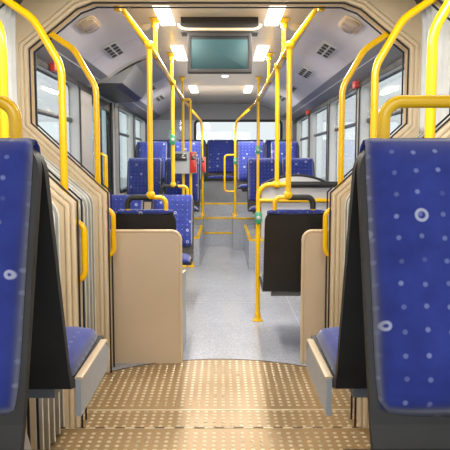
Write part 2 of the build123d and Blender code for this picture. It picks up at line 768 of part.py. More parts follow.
# Vertical poles from the overhead rails: x, y, foot above the floor
FLOOR_POLES = [
    (POLE_X, REST_Y, REST_UP + RAIL_R),
    (POLE_X, SCREEN_Y, PLATFORM_UP),
    (-POLE_X, SCREEN_Y, 0),
]


def grip_place(row):
    """Where a row's back ends: y and height above the floor of its grip bar."""
    side, y, facing, up, edge, wall_gap, between, tall = row
    return y - FACINGS[facing] * (tall * BACK_LEAN + 48), up + tall + GRIP_UP


def seat_poles(rows):
    made = []
    for row in rows:
        y, up = grip_place(row)
        made.append((SIDES[row[0]] * POLE_X, y, up + GRIP_R))
    return made


def overhead_rails(y0, y1):
    """Rail on each side of the aisle, from the ceiling down to a pole by the stair."""
    made = []
    for side, pole_x in ((-1, STAIR_LEFT - RAIL_R), (1, STAIR_RIGHT + 2 * RAIL_R)):
        x = side * POLE_X
        z = FLOOR_Z + OVERHEAD_UP
        foot = FLOOR_Z + SIDE_BLOCK_UP + SEAT_GAP
        made.append(tube([
            (x + side * RAIL_END_OUT, y0, CEILING_Z - 0.8 * RAIL_R), (x, y0 + RAIL_END_LONG, z), (x, y1, z),
            (pole_x, STAIR_POLE_Y, z - RAIL_END_DROP), (pole_x, STAIR_POLE_Y, foot),
        ], RAIL_R, 200))
        for y in (y0 + 2 * RAIL_END_LONG, (y0 + y1) / 2, y1 - RAIL_END_LONG):
            made.append(rod((x, y, z + RAIL_R + SEAT_GAP), (x, y, CEILING_Z - SEAT_GAP), RAIL_R * 0.8))
    return made


def poles(table):
    top = FLOOR_Z + OVERHEAD_UP - RAIL_R - SEAT_GAP
    return [rod((x, y, FLOOR_Z + foot + SEAT_GAP), (x, y, top), RAIL_R) for x, y, foot in table]


def box_pole():
    """Pole beside the draught screen, joined to the overhead rail by its bent top."""
    z = FLOOR_Z + OVERHEAD_UP
    return tube([(BOX_POLE_X, SCREEN_Y, FLOOR_Z + SEAT_GAP), (BOX_POLE_X, SCREEN_Y, z),
                 (-POLE_X + RAIL_R + SEAT_GAP, SCREEN_Y, z)], RAIL_R, 25)


def seat_grips(rows):
    """Bar over each double seat's back, on two short posts."""
    made = []
    for row in rows:
        side, y, facing, up, edge, wall_gap, between, tall = row
        back_y, bar_up = grip_place(row)
        foot = FLOOR_Z + up + tall + SEAT_GAP
        bar = FLOOR_Z + bar_up
        x_aisle = SIDES[side] * (60 + edge)
        x_far = x_aisle + SIDES[side] * GRIP_LONG
        made.append(tube([
            (x_aisle, back_y, foot), (x_aisle, back_y, bar), (x_far, back_y, bar), (x_far, back_y, foot),
        ], GRIP_R, 40))
    return made


def wheelchair_rest():
    """Back support for a wheelchair: a hoop on the floor, its low bar and a panel."""
    y = REST_Y
    far_x = INSIDE - 2 * RAIL_R
    foot = FLOOR_Z + SEAT_GAP
    top = FLOOR_Z + REST_UP
    low = FLOOR_Z + REST_LOW_UP
    frame = tube([(REST_X, y, foot), (REST_X, y, top), (far_x, y, top), (far_x, y, foot)], RAIL_R, 90)
    bar = rod((REST_X + 5, y, low), (far_x - 5, y, low), RAIL_R * 0.85)
    back = y + RAIL_R + SEAT_GAP
    x0 = REST_X + 25
    x_mid = (x0 + REST_PANEL_X) / 2
    sheet = make_face([
        Line((x0, low - 290), (REST_PANEL_X, low - 290)),
        Line((REST_PANEL_X, low - 290), (REST_PANEL_X, top - 10)),
        ThreePointArc((REST_PANEL_X, top - 10), (x_mid, FLOOR_Z + REST_PANEL_UP), (x0, top - 10)),
        Line((x0, top - 10), (x0, low - 290)),
    ])
    return [frame + bar, along_y(sheet, back, back + PANEL_THICK)]


def rear_platforms():
    """Raised floor over the engine, its stairs and the platforms beside them."""
    base = FLOOR_Z + SEAT_GAP
    top = FLOOR_Z + PODIUM_UP
    y_side = REAR_AXLE_Y + ARCH_RADIUS + ARCH_SHELL + 1
    edge = INSIDE - SEAT_GAP
    deck = slab(-edge, edge, PODIUM_Y, TAIL_INNER - SEAT_GAP, top - 40, top)
    riser = slab(-edge, edge, PODIUM_Y, PODIUM_Y + 30, base, top)
    side_top = FLOOR_Z + SIDE_BLOCK_UP
    left = slab(-edge, STAIR_LEFT, y_side, PODIUM_Y + 1, base, side_top)
    right = slab(STAIR_RIGHT, edge, y_side, PODIUM_Y + 1, base, side_top)
    y_arch = REAR_AXLE_Y - ARCH_RADIUS - ARCH_SHELL - SEAT_GAP
    high = FLOOR_Z + PLATFORM_UP
    platforms = []
    for side, x, y in ((-1, PLATFORM_KERB_X, PLATFORM_KERB_Y), (1, PLATFORM_STREET_X, PLATFORM_STREET_Y)):
        platforms.append(slab(side * x, side * edge, y, y_arch, base, high))
        platforms.append(slab(side * x, side * (ARCH_IN - ARCH_SHELL - SEAT_GAP), y, y_side + 1, base, high))
    steps = []
    for i in range(STEPS):
        y = STEP_Y + i * STEP_GOING
        steps.append(slab(STAIR_LEFT, STAIR_RIGHT, y, PODIUM_Y + 1, base, FLOOR_Z + (i + 1) * STEP_UP))
    return Part() + [deck, riser, left, right] + platforms + steps


def rear_window(inset):
    low = FLOOR_Z + REAR_PANE_LOW_UP + inset
    high = FLOOR_Z + REAR_PANE_TOP_UP - inset
    x0, x1 = REAR_PANE_X0 + inset, REAR_PANE_X1 - inset
    return fillet(face([(x0, low), (x1, low), (x1, high), (x0, high)]).vertices(), PANE_RADIUS - inset)


def flap_outline(grow):
    x, z0, z1 = FLAP_HALF + grow, FLAP_Z0 - grow, FLAP_Z1 + grow
    return fillet(face([(-x, z0), (x, z0), (x, z1), (-x, z1)]).vertices(), PANE_RADIUS + grow)


def rear_wall():
    plan = Pos(0, TAIL - WIDTH / 2) * Rectangle(WIDTH, WIDTH)
    corners = plan.vertices().sort_by(Axis.Y)[-2:]
    post = extrude(fillet(corners, TAIL_RADIUS), amount=ROOF_Z)
    shell = post & along_y(body_outline(), TAIL - 500, TAIL)
    shell -= slab(-INSIDE, INSIDE, TAIL - 600, TAIL_INNER, 0, ROOF_Z - ROOF_SHELL)
    shell -= slab(-WIDTH, WIDTH, TAIL - 600, SIDE_END, 0, 2 * ROOF_Z)
    shell -= along_y(rear_window(0), TAIL - 200, TAIL + 1)
    groove = flap_outline(FLAP_GROOVE) - flap_outline(0)
    shell -= along_y(groove, TAIL - FLAP_GROOVE, TAIL + 1)
    for i in range(LOUVRES):
        z = FLAP_Z0 + 90 + i * LOUVRE_PITCH
        shell -= slab(-LOUVRE_HALF, LOUVRE_HALF, TAIL - 2 * FLAP_GROOVE, TAIL + 1, z, z + LOUVRE_PITCH / 2)
    return shell


def rear_pane():
    return along_y(rear_window(SEAT_GAP), TAIL - 8, TAIL - 2)


def bumper():
    half = HALF - TAIL_RADIUS
    block = slab(-half, half, TAIL + SEAT_GAP, TAIL + SEAT_GAP + TAIL_LAMP, BUMPER_Z, BUMPER_Z + BUMPER_TALL)
    return fillet(block.edges().filter_by(Axis.Y), BUMPER_TALL / 3)


def door_leaf(y0, y1, hinge_low):
    x0, x1 = -HALF, -HALF + DOOR_THICK
    low, high = FLOOR_Z + RUN_GAP, FLOOR_Z + DOOR_TOP_UP - RUN_GAP
    shaft_y = y0 - RUN_GAP + DOOR_AXIS_EDGE if hinge_low else y1 + RUN_GAP - DOOR_AXIS_EDGE
    shaft = rod((x0 + DOOR_AXIS_IN, shaft_y, FLOOR_Z + SEAT_GAP),
                (x0 + DOOR_AXIS_IN, shaft_y, FLOOR_Z + DOOR_TOP_UP - SEAT_GAP), 14)
    leaf = slab(x0, x1, y0, y1, low, high) + shaft
    light = face([(y0 + DOOR_STILE, low + 90), (y1 - DOOR_STILE, low + 90),
                  (y1 - DOOR_STILE, high - 90), (y0 + DOOR_STILE, high - 90)])
    return leaf - along_x(fillet(light.vertices(), 50), x0 - 1, x1 + 1)


def door_pane(y0, y1):
    low, high = FLOOR_Z + RUN_GAP + 90 + SEAT_GAP, FLOOR_Z + DOOR_TOP_UP - RUN_GAP - 90 - SEAT_GAP
    a, b = y0 + DOOR_STILE + SEAT_GAP, y1 - DOOR_STILE - SEAT_GAP
    light = face([(a, low), (b, low), (b, high), (a, high)])
    return along_x(fillet(light.vertices(), 50 - SEAT_GAP), -HALF + 14, -HALF + 20)


def door_header():
    """Cover of the door drive, which bulges where the cove is interrupted."""
    inner = -COVE_IN - SEAT_GAP
    wall_x = -INSIDE + SEAT_GAP
    run = COVE_OUT - COVE_IN
    profile = face([
        (inner, CEILING_Z), (inner - 0.4 * run, CEILING_Z - 0.25 * COVE_LOW_DROP),
        (inner - 0.71 * run, CEILING_Z - 0.85 * COVE_LOW_DROP),
        (inner - 0.87 * run, CEILING_Z - COVE_LOW_DROP + 5), (wall_x, CEILING_Z - COVE_LOW_DROP - 10),
        (wall_x, CEILING_Z - COVE_LOW_DROP + LINING), (-COVE_OUT, CEILING_Z - COVE_OUT_DROP + LINING),
        (inner, CEILING_Z + LINING),
    ])
    return along_y(profile, DOOR_Y0 - DOOR_COVER_OVER, DOOR_Y1 + DOOR_COVER_OVER)


# Ceiling lamps: centre along the bus
REAR_LAMPS = [PORTAL_BACK + 460, DOOR_Y0 - 270, REAR_AXLE_Y + 220]
LAMP_X = 355
LAMP_LONG = 700
LAMP_WIDE = 96


def ceiling_lamps(places):
    made = []
    for y in places:
        for x in (-LAMP_X, LAMP_X):
            made.append(slab(x - LAMP_WIDE / 2, x + LAMP_WIDE / 2, y - LAMP_LONG / 2, y + LAMP_LONG / 2,
                             CEILING_Z - 14, CEILING_Z - SEAT_GAP))
    return made


def monitor():
    y = MONITOR_Y
    half = MONITOR_HALF
    z0 = FLOOR_Z + MONITOR_UP
    z1 = z0 + MONITOR_TALL
    screen = slab(-half, half, y, y + 55, z0, z1)
    housing = slab(-half - 42, half + 42, y - 6, y + 130, z1 + SEAT_GAP, CEILING_Z - SEAT_GAP)
    back = slab(25 - half, half - 25, y + 50, y + 110, z0 + 40, z1)
    return [screen + back, housing]


def draught_screen():
    y = SCREEN_Y
    sill = FLOOR_Z + SCREEN_SILL_UP
    glass = slab(-INSIDE + 20, -POLE_X - RAIL_R - 4, y - 4, y + 4, sill, FLOOR_Z + SCREEN_UP)
    panel = slab(-INSIDE + SEAT_GAP, -POLE_X - RAIL_R - SEAT_GAP, y - 12, y + 12, FLOOR_Z + SEAT_GAP,
                 sill - SEAT_GAP)
    return glass, panel


# Boxes on the kerb side poles: pole's x and y, half width, depth, lowest
# point above the floor, height
TICKET_BOXES = [
    (-POLE_X - 18, SCREEN_Y, 92, 80, 1090, 250),
    (BOX_POLE_X + 31, SCREEN_Y, 40, 60, 1093, 243),
    (STAIR_LEFT - RAIL_R, STAIR_POLE_Y, 50, 60, 1076, 215),
]


def ticket_boxes():
    made = []
    for x, y, half, deep, low_up, tall in TICKET_BOXES:
        back = y - RAIL_R - SEAT_GAP
        low = FLOOR_Z + low_up
        made.append(slab(x - half, x + half, back - deep, back, low, low + tall))
    return made


def engine_block():
    y0, y1 = PODIUM_Y + 60, TAIL - ENGINE_END
    block = slab(-ENGINE_HALF, ENGINE_HALF, y0, y1, ENGINE_LOW_Z, FLOOR_Z + PODIUM_UP - 80)
    rest = FLOOR_Z - FLOOR_THICK + SEAT_GAP
    reach = BEAM_X + ENGINE_FOOT
    feet = [slab(-reach, reach, y - ENGINE_FOOT, y + ENGINE_FOOT, rest, rest + ENGINE_FOOT)
            for y in (y0 + 3 * ENGINE_FOOT, y1 - 3 * ENGINE_FOOT)]
    return Part() + [block] + feet


def engine_tower():
    edge = INSIDE - SEAT_GAP
    return slab(-edge, -520, BENCH_Y + 280, TAIL_INNER - SEAT_GAP, FLOOR_Z + PODIUM_UP + SEAT_GAP,
                CEILING_Z - COVE_LOW_DROP - SEAT_GAP)


def rear_lamps():
    made = []
    for i in range(3):
        z = TAIL_LAMP_Z + i * TAIL_LAMP_PITCH
        for x in (TAIL_LAMP_IN - HALF, HALF - TAIL_LAMP_IN):
            lens = Rot(X=90) * Cylinder(TAIL_LAMP_R, TAIL_LAMP)
            made.append(Pos(x, TAIL + SEAT_GAP + TAIL_LAMP / 2, z) * lens)
    return made


# Assembly by body: every node is one file

rear_y0 = PORTAL_BACK + SEAT_GAP
fore_y1 = -PORTAL_BACK - SEAT_GAP
ceiling_end = TAIL_INNER - SEAT_GAP
ring_edge = RING_THICK / 2 + SEAT_GAP
door = (DOOR_Y0, DOOR_Y1)
leaf_mid = (DOOR_Y0 + DOOR_Y1) / 2
leaf_front = (DOOR_Y0 + RUN_GAP, leaf_mid - RUN_GAP / 2)
leaf_rear = (leaf_mid + RUN_GAP / 2, DOOR_Y1 - RUN_GAP)
screen_glass, screen_panel = draught_screen()

nodes["rear_floor"] = [floor_slab(PORTAL_Y, PODIUM_Y + 30, REAR_AXLE_Y)]
nodes["rear_chassis"] = [chassis(PORTAL_BACK + 60, TAIL - 200, REAR_AXLE_Y, REAR_CROSSES)]
nodes["rear_joint_frame"] = [upper_joint_frame()]
nodes["rear_portal"] = [portal(PORTAL_Y)]
nodes["rear_portal_rails"] = ring_rails(PORTAL_Y + PORTAL_THICK / 2)
nodes["kerb_wall_front"] = [side_wall(-1, rear_y0, DOOR_Y0, KERB_WINDOWS_FRONT, None)]
nodes["kerb_wall_rear"] = [side_wall(-1, DOOR_Y1, SIDE_END, KERB_WINDOWS_REAR, REAR_AXLE_Y)]
nodes["kerb_door_frame"] = [slab(-HALF, -INSIDE, DOOR_Y0, DOOR_Y1, FLOOR_Z + DOOR_TOP_UP, GUTTER_Z),
                            slab(-HALF, -INSIDE, DOOR_Y0, DOOR_Y1, SKIRT_Z, FLOOR_Z),
                            door_header()]
nodes["street_wall"] = [side_wall(1, rear_y0, SIDE_END, STREET_WINDOWS, REAR_AXLE_Y)]
nodes["kerb_panes"] = panes(-1, KERB_WINDOWS_FRONT + KERB_WINDOWS_REAR)
nodes["street_panes"] = panes(1, STREET_WINDOWS)
nodes["rear_end_wall"] = [rear_wall(), bumper()]
nodes["rear_pane"] = [rear_pane()]
nodes["rear_roof"] = [roof(rear_y0, SIDE_END)]
nodes["rear_ceiling"] = ceiling(rear_y0, ceiling_end, [
    (rear_y0, DOOR_Y0 - DOOR_COVER_OVER - SEAT_GAP), (DOOR_Y1 + DOOR_COVER_OVER + SEAT_GAP, ceiling_end)])
nodes["rear_ceiling_lamps"] = ceiling_lamps(REAR_LAMPS)
nodes["rear_arch_boxes"] = arch_boxes(REAR_AXLE_Y)
nodes["rear_platform"] = [rear_platforms(), engine_tower()]
nodes["partitions"] = [
    partition(-PARTITION_KERB_X, -INSIDE + SEAT_GAP, PARTITION_Y),
    partition(PARTITION_STREET_X, INSIDE - SEAT_GAP, PARTITION_Y),
    seat_side(-PARTITION_KERB_X - SKIRT_THICK, 540, 480),
    screen_panel,
]
nodes["rear_seat_shells"] = shells(seat_places(REAR_SEATS) + bench_places())
nodes["rear_seat_pads"] = pads(seat_places(REAR_SEATS) + bench_places())
nodes["rear_seat_frames"] = seat_frames(REAR_SEATS) + [bench_box()]
nodes["rear_seat_grips"] = seat_grips(REAR_SEATS[:3])
nodes["rear_handrails"] = (overhead_rails(RAILS_Y0, RAILS_Y1) + [box_pole()]
                           + poles(FLOOR_POLES + seat_poles(REAR_SEATS[:3])))
nodes["wheelchair_rest"] = wheelchair_rest()
nodes["draught_screen"] = [screen_glass]
nodes["ticket_boxes"] = ticket_boxes()
nodes["monitor"] = monitor()
nodes["engine_block"] = [engine_block()]
nodes["tail_lamps"] = rear_lamps()
nodes["rear_axle"] = [Pos(0, REAR_AXLE_Y, 0) * drop_axle(True)]

nodes["mid_ring"] = [mid_ring()]
nodes["mid_ring_rails"] = ring_rails(0)
nodes["turntable_plate"] = turntable_plate()
nodes["plate_carrier"] = [plate_carrier()]
nodes["rear_bellows"] = bellows(ring_edge, PORTAL_Y - SEAT_GAP)
nodes["fore_bellows"] = bellows(-PORTAL_Y + SEAT_GAP, -ring_edge)

nodes["fore_floor"] = [floor_slab(FORE_END, -PORTAL_Y, FORE_AXLE_Y)]
nodes["fore_chassis"] = [chassis(FORE_END, -PORTAL_BACK - 60, FORE_AXLE_Y, FORE_CROSSES)]
nodes["fore_joint_frame"] = [lower_joint_frame()]
nodes["fore_portal"] = [portal(-PORTAL_BACK)]
nodes["fore_handrails"] = ring_rails(-PORTAL_Y - PORTAL_THICK / 2) + seat_grips(FORE_SEATS[:2])
nodes["fore_walls"] = [side_wall(side, FORE_END, fore_y1, FORE_WINDOWS, FORE_AXLE_Y) for side in (-1, 1)]
nodes["fore_panes"] = panes(-1, FORE_WINDOWS) + panes(1, FORE_WINDOWS)
nodes["fore_roof"] = [roof(FORE_END, fore_y1)]
nodes["fore_ceiling"] = ceiling(FORE_END, fore_y1, [(FORE_END, fore_y1)])
nodes["fore_arch_boxes"] = (arch_boxes(FORE_AXLE_Y) + [seat_skirt(row) for row in FORE_SEATS]
                            + [seat_plinth(row, FORE_AXLE_Y) for row in FORE_SEATS[:2]])
nodes["fore_seat_shells"] = shells(seat_places(FORE_SEATS))
nodes["fore_seat_pads"] = pads(seat_places(FORE_SEATS))
nodes["fore_seat_frames"] = seat_frames(FORE_SEATS)
nodes["fore_axle"] = [Pos(0, FORE_AXLE_Y, 0) * drop_axle(False)]

nodes["door_leaf_front"] = [door_leaf(*leaf_front, True)]
nodes["door_leaf_rear"] = [door_leaf(*leaf_rear, False)]
nodes["door_pane_front"] = [door_pane(*leaf_front)]
nodes["door_pane_rear"] = [door_pane(*leaf_rear)]

WHEELS = [
    ("fore_kerb", FORE_AXLE_Y, True), ("fore_street", FORE_AXLE_Y, False),
    ("rear_kerb", REAR_AXLE_Y, True), ("rear_street", REAR_AXLE_Y, False),
]
for name, axle_y, kerb in WHEELS:
    pieces = [wheel_disc()] + twin_tyres()
    if kerb:
        pieces = [mirrored(one) for one in pieces]
    pieces = [Pos(0, axle_y, 0) * one for one in pieces]
    nodes["wheel_" + name] = pieces

os.makedirs("parts", exist_ok=True)
for name, pieces in nodes.items():
    solids = [TO_ORIGIN * solid for piece in pieces for solid in piece.solids()]
    shape = solids[0] if len(solids) == 1 else Compound(children=solids)
    export_step(shape, os.path.join("parts", name + ".step"))
print(len(nodes), "nodes written, origin shift", TO_ORIGIN.position.Y)
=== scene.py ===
# %% [markdown]
# # The saloon of an articulated bus
#
# The imported CAD model is the frame that everything here is fitted to. It is
# loaded first, and the pivot and the floor are read off its parts.

# %% Load the frame
import json
import math

import bmesh
import bpy
from mathutils import Matrix, Vector

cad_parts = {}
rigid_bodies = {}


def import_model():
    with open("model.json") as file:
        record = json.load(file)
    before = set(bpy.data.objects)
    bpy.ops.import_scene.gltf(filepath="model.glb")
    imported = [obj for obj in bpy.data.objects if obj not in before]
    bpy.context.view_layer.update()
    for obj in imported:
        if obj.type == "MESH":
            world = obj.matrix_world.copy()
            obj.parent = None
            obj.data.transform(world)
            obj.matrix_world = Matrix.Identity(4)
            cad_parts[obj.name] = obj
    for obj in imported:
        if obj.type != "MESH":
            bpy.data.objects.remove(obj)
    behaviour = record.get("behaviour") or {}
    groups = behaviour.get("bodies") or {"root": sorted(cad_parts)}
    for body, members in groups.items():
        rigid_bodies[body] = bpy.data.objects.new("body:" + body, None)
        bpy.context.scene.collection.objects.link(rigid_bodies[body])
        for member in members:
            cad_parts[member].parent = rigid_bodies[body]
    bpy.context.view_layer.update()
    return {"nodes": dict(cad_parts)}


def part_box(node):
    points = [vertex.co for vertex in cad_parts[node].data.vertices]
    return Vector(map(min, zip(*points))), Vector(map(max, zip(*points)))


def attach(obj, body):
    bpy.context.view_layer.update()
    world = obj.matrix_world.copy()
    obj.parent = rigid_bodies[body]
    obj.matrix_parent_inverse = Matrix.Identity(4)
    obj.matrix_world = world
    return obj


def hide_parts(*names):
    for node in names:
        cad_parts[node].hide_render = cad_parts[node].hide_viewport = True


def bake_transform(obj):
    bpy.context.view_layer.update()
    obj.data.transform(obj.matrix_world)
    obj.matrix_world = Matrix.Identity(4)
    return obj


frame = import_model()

ring_low, ring_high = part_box("mid_ring")
PIVOT_Y = (ring_low.y + ring_high.y) / 2
FLOOR_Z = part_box("rear_floor")[1].z
print("pivot at", round(PIVOT_Y, 4), "floor at", round(FLOOR_Z, 4))

# %% [markdown]
# The photograph was taken with a lens of about 51 mm on a 36 mm frame, from
# 1.22 m above the low floor and 2.89 m ahead of the turntable's pivot. The
# long lines of the bus meet a little above the middle of the picture, so the
# camera looks down by 5.6 degrees, and a quarter of a degree to the right.

# %% Camera
IMAGE_SIDE = 450
FOCAL_PIXELS = 640
EYE_UP = 1.22
EYE_AHEAD = 2.89
EYE_X = 0.015
PITCH = math.radians(5.62)
YAW = math.radians(0.27)

camera_data = bpy.data.cameras.new("camera")
camera_data.sensor_width = 36.0
camera_data.lens = camera_data.sensor_width * FOCAL_PIXELS / IMAGE_SIDE
camera_data.clip_start = 0.05
camera = bpy.data.objects.new("camera", camera_data)
camera.location = (EYE_X, PIVOT_Y - EYE_AHEAD, FLOOR_Z + EYE_UP)
camera.rotation_euler = (math.pi / 2 - PITCH, 0, -YAW)
bpy.context.scene.collection.objects.link(camera)
bpy.context.scene.camera = camera
bpy.context.scene.view_settings.view_transform = "Standard"

# %% [markdown]
# A node tree is a list of nodes and links. One function fills a node's inputs:
# it sets what is given as a value, and links what is given as a node or one
# of its sockets. Another adds a node with its settings and fills it. Colours
# are written as sRGB hex codes, as a paint chart has them, and on the way in
# they are turned to the linear values that the renderer works in.

# %% Nodes, links and colours


def colour(code):
    """Linear RGBA of an sRGB hex code such as f2c500."""
    values = [int(code[i:i + 2], 16) / 255 for i in (0, 2, 4)]
    linear = [v / 12.92 if v <= 0.04045 else ((v + 0.055) / 1.055) ** 2.4 for v in values]
    return (*linear, 1.0)


def fill(tree, node, inputs):
    """Sets values and colour codes, and links sockets, or a node by its first live output."""
    for name, value in inputs.items():
        if isinstance(value, bpy.types.Node):
            value = next(socket for socket in value.outputs if socket.enabled)
        if isinstance(value, bpy.types.NodeSocket):
            tree.links.new(value, node.inputs[name])
        else:
            node.inputs[name].default_value = colour(value) if isinstance(value, str) else value


def add(tree, kind, inputs=None, **settings):
    """Adds a node with its settings, values and links."""
    made = tree.nodes.new(kind)
    for name, value in settings.items():
        setattr(made, name, value)
    fill(tree, made, inputs or {})
    return made


def start_material(name, **shader_values):
    """A material with a Principled shader, its tree and its object coordinates."""
    material = bpy.data.materials.new(name)
    material.use_nodes = True
    tree = material.node_tree
    shader = tree.nodes["Principled BSDF"]
    for key, value in shader_values.items():
        shader.inputs[key.replace("_", " ")].default_value = value
    place = add(tree, "ShaderNodeTexCoord").outputs["Object"]
    return material, tree, shader, place


# %% [markdown]
# No real surface is even. Noise makes soft blotches, which change the shade
# and the gloss a little, and a fine relief, which takes the hardness off the
# highlights. Their sizes are real ones in millimetres. A plain finish is two
# near shades, a gloss and a grain.

# %% Blotches, relief and plain finishes


def blotches(tree, place, size_mm, low=0.3, high=0.7, detail=3.0):
    """Soft blotches from 0 to 1, about size_mm across."""
    cloud = add(tree, "ShaderNodeTexNoise", {"Vector": place, "Scale": 1000 / size_mm, "Detail": detail})
    return add(tree, "ShaderNodeMapRange", {"Value": cloud, "From Min": low, "From Max": high})


def relief(tree, shader, place, size_mm, depth_mm, detail=3.0):
    """A grain that tilts the shading, size_mm across and depth_mm deep."""
    grain = add(tree, "ShaderNodeTexNoise", {"Vector": place, "Scale": 1000 / size_mm, "Detail": detail})
    tilt = add(tree, "ShaderNodeBump", {"Height": grain, "Distance": depth_mm / 1000, "Strength": 1.0})
    fill(tree, shader, {"Normal": tilt})


def plain_material(name, light, dark, blotch_mm, rough, grain_mm, grain_depth_mm, **shader_values):
    """A finish of two near shades in soft blotches, uneven gloss and a fine grain."""
    material, tree, shader, place = start_material(name, **shader_values)
    blotch = blotches(tree, place, blotch_mm, 0.35, 0.65)
    shade = add(tree, "ShaderNodeMix", {0: blotch, 6: dark, 7: light}, data_type="RGBA")
    gloss = add(tree, "ShaderNodeMapRange", {
        "Value": blotch, "To Min": rough * 0.88, "To Max": min(1.0, rough * 1.12)})
    fill(tree, shader, {"Base Color": shade, "Roughness": gloss})
    relief(tree, shader, place, grain_mm, grain_depth_mm, 2.0)
    return material


# %% [markdown]
# ## Paints and powder coats
#
# Body panels are sprayed steel and aluminium: two near whites and a clear
# coat over a faint orange peel. Grab rails are steel tube under a thick
# yellow powder coat, which is glossy and a little wavy. Under the floor
# everything is black wax, dull and rough.

# %% Paints
# Sprayed paint: pale, with a clear coat that the orange peel softens.
body_paint = plain_material("sprayed_panel_paint", "d3d6d8", "ced1d3", 900, 0.46, 9, 0.05, Coat_Weight=0.15,
                            Coat_Roughness=0.3)
# Powder coat: thick and glossy, so each tube has a clear highlight.
rail_coat = plain_material("yellow_powder_coat", "f7c600", "efb900", 260, 0.24, 5, 0.06, Coat_Weight=0.35,
                           Coat_Roughness=0.12)
# Wax underseal: nearly black, dull and lumpy.
underseal = plain_material("black_wax_underseal", "26272a", "18191b", 120, 0.6, 6, 0.3)
# Enamel on welded frames: satin, grey under the seats and black at the door.
grey_frame_paint = plain_material("grey_frame_paint", "83878d", "74787e", 200, 0.4, 6, 0.08)
black_frame_paint = plain_material("black_frame_paint", "2b2e31", "202225", 180, 0.35, 6, 0.08)
# Paint on cast iron: dark, and as rough as the casting under it.
cast_iron_paint = plain_material("painted_cast_iron", "34363a", "232528", 60, 0.55, 4, 0.5)

# %% [markdown]
# ## Mouldings and sheets
#
# The saloon is lined with glass-reinforced mouldings and laminates: cream
# hoops round the gangway, warm beige partitions and light grey side panels.
# Their gloss comes from the gel coat, and their grain is finer than a pixel,
# so it only takes the hardness off the highlights.

# %% Mouldings
# Gel-coated mouldings: smooth, with wide soft highlights.
cream_moulding = plain_material("cream_moulded_hoop", "dbc8a8", "d2bc99", 500, 0.38, 3, 0.06)
grey_side = plain_material("light_grey_side_moulding", "b9bbbd", "adafb2", 300, 0.4, 3, 0.05)
# Pressed laminate: flat and a little glossier than the mouldings.
beige_laminate = plain_material("beige_laminate_panel", "cdb99f", "c2ae93", 700, 0.34, 4, 0.04,
                                Coat_Weight=0.2)
# Moulded ABS with a leather grain, and the brown covers over the seat boxes: both dull.
black_moulding = plain_material("black_grained_moulding", "262321", "1d1b19", 160, 0.55, 2.5, 0.15)
brown_moulding = plain_material("brown_arch_cover", "6d5a4a", "5f4d3f", 300, 0.5, 4, 0.2)
# EPDM rubber: black with a greyish sheen.
window_rubber = plain_material("black_window_rubber", "1d1f21", "141516", 120, 0.55, 4, 0.1)
# Opal acrylic over a lamp: it glows evenly, so it has nearly no shading of its own.
OPAL_CLOUD_MM = 60
opal_lamp, tree, shader, place = start_material("opal_lamp_cover", Roughness=0.4, Emission_Strength=3.0)
cloud = add(tree, "ShaderNodeTexNoise", {"Vector": place, "Scale": 1000 / OPAL_CLOUD_MM, "Detail": 3.0})
opal = add(tree, "ShaderNodeMix", {0: cloud, 6: "fff7e6", 7: "ffffff"}, data_type="RGBA")
fill(tree, shader, {"Base Color": opal, "Emission Color": opal})

# %% [markdown]
# Window glass is thin, so its two faces bend light back again and nothing
# shifts behind it. A see-through shader with a gloss that grows towards
# grazing angles does this, and it lets the lamps outside light the saloon.

# %% Glass


def thin_glass(name, tint):
    """See-through glass with a faint tint, glossier the flatter it is looked at."""
    material = bpy.data.materials.new(name)
    material.use_nodes = True
    tree = material.node_tree
    tree.nodes.remove(tree.nodes["Principled BSDF"])
    place = add(tree, "ShaderNodeTexCoord").outputs["Object"]
    cloud = add(tree, "ShaderNodeTexNoise", {"Vector": place, "Scale": 1000 / 1500, "Detail": 1.0})
    film = add(tree, "ShaderNodeMix", {0: cloud, 6: tint, 7: "fbfefe"}, data_type="RGBA")
    through = add(tree, "ShaderNodeBsdfTransparent", {"Color": film})
    shine = add(tree, "ShaderNodeBsdfGlossy", {"Color": "ffffff", "Roughness": 0.02})
    edge = add(tree, "ShaderNodeFresnel", {"IOR": 1.5})
    share = add(tree, "ShaderNodeMath", {0: edge, 1: 0.3}, operation="MULTIPLY")
    both = add(tree, "ShaderNodeMixShader", {0: share, 1: through, 2: shine})
    fill(tree, tree.nodes["Material Output"], {"Surface": both})
    return material


# Toughened soda-lime glass, nearly clear in the windows and tinted green in the door.
window_glass = thin_glass("toughened_window_glass", "f8fcfc")
door_glass = thin_glass("tinted_door_glass", "b9d2d2")

# %% [markdown]
# ## Floor, tread plate and lenses
#
# The low floor is safety vinyl, grey with paler and darker chips. The chips
# are the cells of a Voronoi pattern: each has a lot between 0 and 1, and only
# the highest and the lowest lots are drawn.

# %% Safety vinyl
# Vinyl sheet rolled with coloured chips: they flicker a little, and feet have polished it in patches.
CHIP_MM = 7
vinyl, tree, shader, place = start_material("grey_safety_vinyl", Roughness=0.3)
chips = add(tree, "ShaderNodeTexVoronoi", {"Vector": place, "Scale": 1000 / CHIP_MM}).outputs["Color"]
chip_shade = add(tree, "ShaderNodeSeparateColor", {0: chips})
scuffs = blotches(tree, place, 700)
ground = add(tree, "ShaderNodeMix", {0: scuffs, 6: "a2a6b1", 7: "b1b5c0"}, data_type="RGBA")
pale_chip = add(tree, "ShaderNodeMapRange", {"Value": chip_shade, "From Min": 0.86, "From Max": 0.9})
dark_chip = add(tree, "ShaderNodeMapRange", {"Value": chip_shade, "From Min": 0.14, "From Max": 0.1})
fleck = add(tree, "ShaderNodeMix", {0: pale_chip, 6: ground, 7: "bcc1c9"}, data_type="RGBA")
fleck = add(tree, "ShaderNodeMix", {0: dark_chip, 6: fleck, 7: "979da6"}, data_type="RGBA")
trodden = add(tree, "ShaderNodeTexNoise", {"Vector": place, "Scale": 1000 / 240, "Detail": 3.0})
